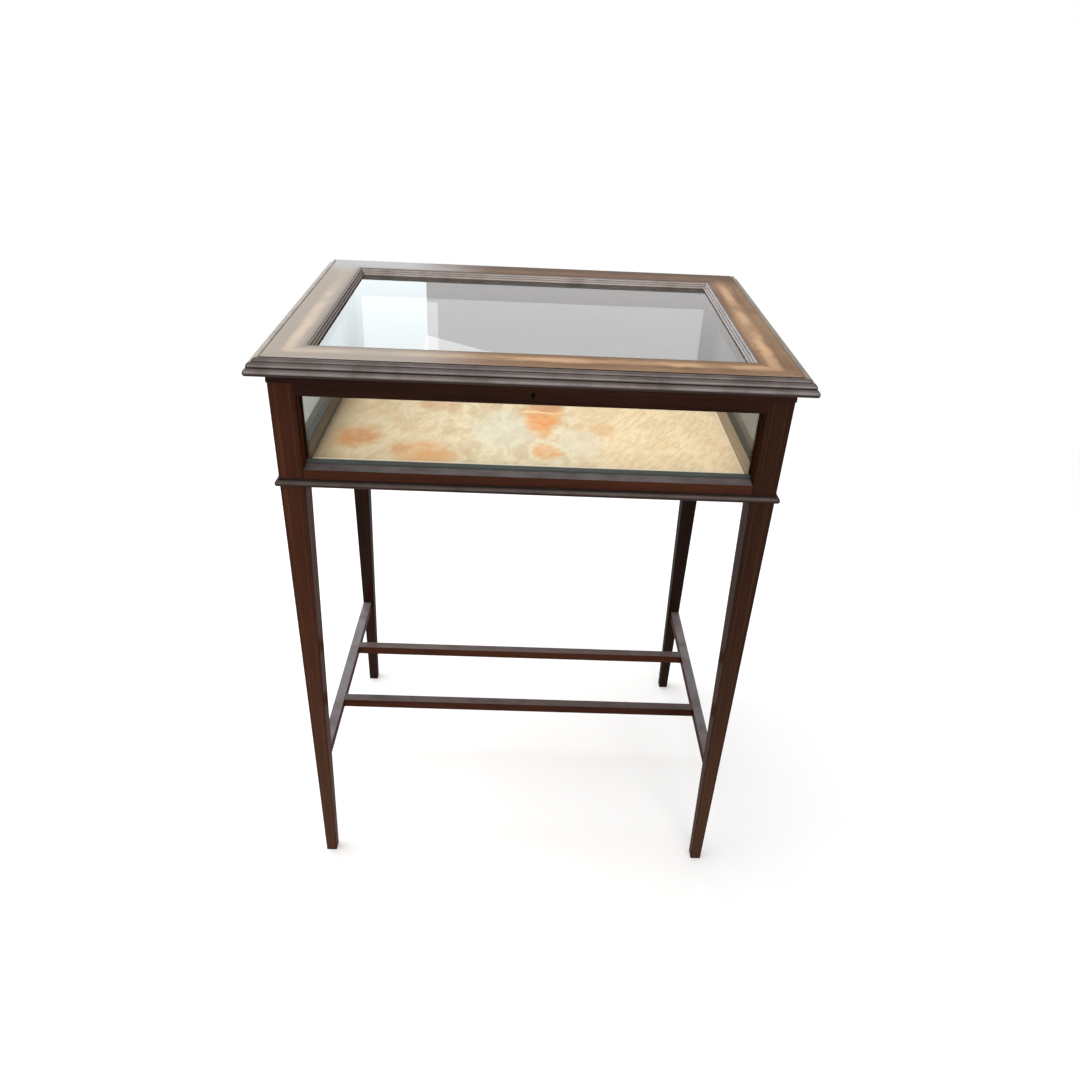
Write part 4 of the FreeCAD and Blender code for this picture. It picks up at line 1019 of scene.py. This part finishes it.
def make_damask():
    material, tree, shader = new_material("Stained cream damask", Sheen_Weight=0.15,
                                          Sheen_Roughness=0.4, Specular_IOR_Level=0.1)
    where = add_node(tree, "TexCoord").outputs["Object"]
    place = parts_of(tree, where)
    weave = place_group(tree, weave_group, Vector=where)
    drawn_out = vector_maths(tree, "MULTIPLY", where, DRAWN_OUT)
    cloth = blend(tree, weave["Figure"], colour(240, 224, 190), colour(234, 214, 177))
    aged = fade(tree, cloud(tree, drawn_out, 36, 6, 0.6), 0.46, 0.60, 0.0, 0.60)
    cloth = blend(tree, aged, cloth, colour(210, 182, 138))
    peach = fade(tree, cloud(tree, drawn_out, 75, 3, 0.3), 0.54, 0.66, 0.0, 0.5)
    cloth = blend(tree, peach, cloth, colour(216, 176, 138))
    # Painted light: the right part of the cloth is made golden and paler.
    light_on_right = fade(tree, place["X"], *PAINTED_LIGHT_RIGHT, 0.0, 0.6)
    cloth = blend(tree, light_on_right, cloth, colour(255, 224, 178))
    hatched = fade(tree, place["X"], *HATCHED, 0.18, 0.30)
    cloth = blend(tree, times(tree, weave["Strokes"], hatched), cloth, colour(208, 164, 112))
    # Painted shade: the left part is browned, and the left rim browner still.
    shade_on_left = fade(tree, place["X"], *PAINTED_SHADE_LEFT, 0.0, 0.5)
    cloth = blend(tree, shade_on_left, cloth, colour(206, 170, 118))
    shade_on_rim = fade(tree, place["X"], *PAINTED_SHADE_RIM, 0.0, 0.75)
    cloth = blend(tree, shade_on_rim, cloth, colour(134, 110, 70))
    cloth = lay_stains(tree, where, cloth)
    # Painted highlight: a paler line along the right and front hems.
    hem_highlight = maths(tree, "MAXIMUM", fade(tree, place["X"], *HEM_HIGHLIGHT_RIGHT),
                fade(tree, place["Y"], *HEM_HIGHLIGHT_FRONT))
    cloth = blend(tree, times(tree, hem_highlight, 0.5), cloth, colour(248, 238, 218))
    feed(tree, shader, Base_Color=cloth,
         Roughness=fade(tree, weave["Figure"], 0.0, 1.0, 0.62, 0.82),
         Normal=bump(tree, weave["Height"], 0.00012, 0.5))
    return material


damask = make_damask()
lining.data.materials.append(damask)
print("the damask's nodes:", len(damask.node_tree.nodes))

# %% [markdown]
# ## Dressing the frame
#
# Every piece of the frame gets its material by what it is, on which side it stands and which way
# its grain runs: pieces at the ends lie along Y, the others along X. A list of fifty pieces would
# do, but their names already say all this, so a table by the beginning of the name is enough.

# %% Give each piece its finish
FINISHES = {                        # beginning of the name: one finish, or a choice of them
    "lid_glass_beads": beads, "lid_glass": panes["lid"], "lid_bar": faded,
    "lid_sight_moulding": sight_mouldings, "lid_edge_moulding_front": front_reeds,
    "lid_edge_moulding": end_reeds, "lid_screws": steel, "case_screws": steel,
    "glass_beads": beads, "glass": panes, "base_board": pine, "base_moulding": base_mouldings,
    "keyhole_liner": keyhole_shade_brass, "hinge": brass, "link_plate": brass, "lock": brass,
    "leg": legs, "long_stretcher": long_stretchers, "side_stretcher": side_stretchers,
    "top_rail": rails_in_painted_shade, "frieze": rails_in_painted_shade, "bottom_rail": rails}


def finish_for(name):
    """The first finish whose beginning fits, chosen by side or else by the run of the grain."""
    side = name.split("_")[-1]
    run = "y" if side in ("left", "right") else "x"
    finish = next(found for start, found in FINISHES.items() if name.startswith(start))
    if isinstance(finish, dict):
        finish = finish.get(side) or finish[run]
    return finish


dressed = {}
for name, piece in nodes.items():
    if name == "base_lining":
        continue
    finish = finish_for(name)
    if not piece.material_slots:
        piece.data.materials.append(finish)
    for slot in piece.material_slots:
        slot.material = finish
    dressed[finish.name] = dressed.get(finish.name, 0) + 1
print("pieces by finish:", dressed)

# %% [markdown]
# ## Floor, room and lamps
#
# The table stands on a plain pale floor in an even, bright room. The floor is real near the
# table, so that it takes a shadow, and melts into the white of the room farther out. Rays that
# come from the eye, or off polish and through glass, see a white room. Rays that light the wood
# get a calmer one. More lamps could make the floor white too, but they would bleach the wood,
# and this way the colours stay as they were mixed.

# %% The floor
WHITE = (1, 1, 1, 1)
ROOM_LIGHT = 0.55
FLOOR_SIZE = 60.0
FLOOR_EMISSION = 0.16
MELTS = (0.9, 2.2)                  # how far out the floor begins to melt away, and is gone


def seen_rays(tree):
    rays = add_node(tree, "LightPath").outputs
    return maths(tree, "MAXIMUM", rays["Is Camera Ray"], maths(
        tree, "MAXIMUM", rays["Is Glossy Ray"], rays["Is Transmission Ray"]))


def room_strength(tree, seen):
    """White to the rays that see the room, and calmer to those that carry its light."""
    return plus(tree, ROOM_LIGHT, times(tree, seen, 1.0 - ROOM_LIGHT))


def make_floor_material():
    material, tree, shader = new_material("Pale floor", Roughness=0.9, Specular_IOR_Level=0.0,
                                          Base_Color=colour(244, 244, 244), Emission_Color=WHITE)
    seen = seen_rays(tree)
    feed(tree, shader, Emission_Strength=times(tree, seen, FLOOR_EMISSION))
    where = add_node(tree, "TexCoord").outputs["Object"]
    far = fade(tree, vector_maths(tree, "LENGTH", where), *MELTS)
    glow = add_node(tree, "Emission", {"Color": WHITE, "Strength": room_strength(tree, seen)})
    mixed = add_node(tree, "MixShader", {0: far, 1: shader.outputs[0], 2: glow.outputs[0]})
    tree.links.new(mixed.outputs[0], tree.nodes["Material Output"].inputs["Surface"])
    return material


bpy.ops.object.select_all(action="DESELECT")
bpy.ops.mesh.primitive_plane_add(size=FLOOR_SIZE, location=(0, 0, 0))
floor = bpy.context.object
floor.name = "floor"
floor.data.materials.append(make_floor_material())
print("floor:", FLOOR_SIZE, "m wide")

# %% [markdown]
# The room itself is the world's background. A dome or walls of mesh could stand for it, but they
# would have to be kept out of the camera's way. The world has the same two levels as the far
# floor, so the two meet without a line.

# %% The room
room = bpy.data.worlds.new("Bright room")
bpy.context.scene.world = room
room.use_nodes = True
background = room.node_tree.nodes["Background"]
background.inputs["Color"].default_value = WHITE
room.node_tree.links.new(room_strength(room.node_tree, seen_rays(room.node_tree)),
                         background.inputs["Strength"])
bpy.context.scene.view_settings.view_transform = "Standard"
print("room light:", ROOM_LIGHT)

# %% [markdown]
# Large soft lamps do the rest. The main one hangs high over the left end, and is kept out of
# reflections so that it leaves no hard edge in the lid. A low one in front sends light in under
# the lid through the front pane, and a third gives the left side its edge. Spots or a sun would
# be simpler, but their shadows are hard, and this room has none.

# %% The lamps
def add_lamp(name, place, target, size, watts, tint=(1, 1, 1)):
    data = bpy.data.lights.new(name, "AREA")
    data.shape = "RECTANGLE"
    data.size, data.size_y = size
    data.energy = watts
    data.color = tint
    lamp = bpy.data.objects.new(name, data)
    bpy.context.scene.collection.objects.link(lamp)
    lamp.location = place
    lamp.rotation_euler = (Vector(target) - Vector(place)).to_track_quat("-Z", "Y").to_euler()
    lamp.visible_camera = False
    return lamp


main_lamp = add_lamp("Main lamp", place=(-0.9, 0.25, 2.5), target=(0, 0, 0.6), size=(2.6, 2.6),
                     watts=40)
main_lamp.visible_glossy = False
add_lamp("Fill lamp", place=(0.5, -2.6, 1.7), target=(0, 0, 0.6), size=(1.6, 1.0), watts=27)
add_lamp("Side lamp", place=(-3.0, 0.6, 1.4), target=(0, 0, 0.7), size=(2.4, 2.0), watts=26)
print("the main lamp hangs", main_lamp.location.z, "m above the floor")

# %% [markdown]
# Polish and glass seen at a low angle mirror what is behind them. A furnished room could stand
# there, but in a worn lid only its brightest shapes survive: a tall window across the left part,
# with a blind and a paler wall beside it. So upright panels of light are enough, far behind the
# table, and they light it very little.

# %% The panels behind the table
DAYLIGHT = (0.85, 0.955, 1.0)
WARM_WALL = (1.0, 0.945, 0.925)
PANEL_TOP = 2.6
BLIND_SLOPE = math.radians(-13.3)


def add_panel(name, left, right, bottom, distance, brightness, tint=(1, 1, 1), slope=0.0):
    """A lamp that stands upright behind the table and is seen as an even brightness.

    A slope turns it about its lower left corner."""
    width, height = right - left, PANEL_TOP - bottom
    middle = Vector((left, distance, bottom)) + Matrix.Rotation(slope, 3, "Y") @ Vector(
        (width / 2, 0, height / 2))
    panel = add_lamp(name, middle, (middle.x, 0, middle.z), (width, height),
                     brightness * math.pi * width * height, tint)
    panel.rotation_euler.rotate_axis("Z", slope)
    panel.visible_transmission = False


add_panel("Window", left=-2.2, right=-0.48, bottom=1.0, distance=3.0, brightness=2.6,
          tint=DAYLIGHT)
add_panel("Window pane", left=-0.81, right=-0.48, bottom=1.0, distance=2.98, brightness=0.2)
add_panel("Window edge", left=-0.478, right=-0.427, bottom=1.61, distance=2.98, brightness=0.85)
add_panel("Blind", left=-0.478, right=0.10, bottom=1.765, distance=2.97, brightness=1.15,
          slope=BLIND_SLOPE)
add_panel("Far wall", left=-0.48, right=2.4, bottom=0.9, distance=3.0, brightness=0.60,
          tint=WARM_WALL)
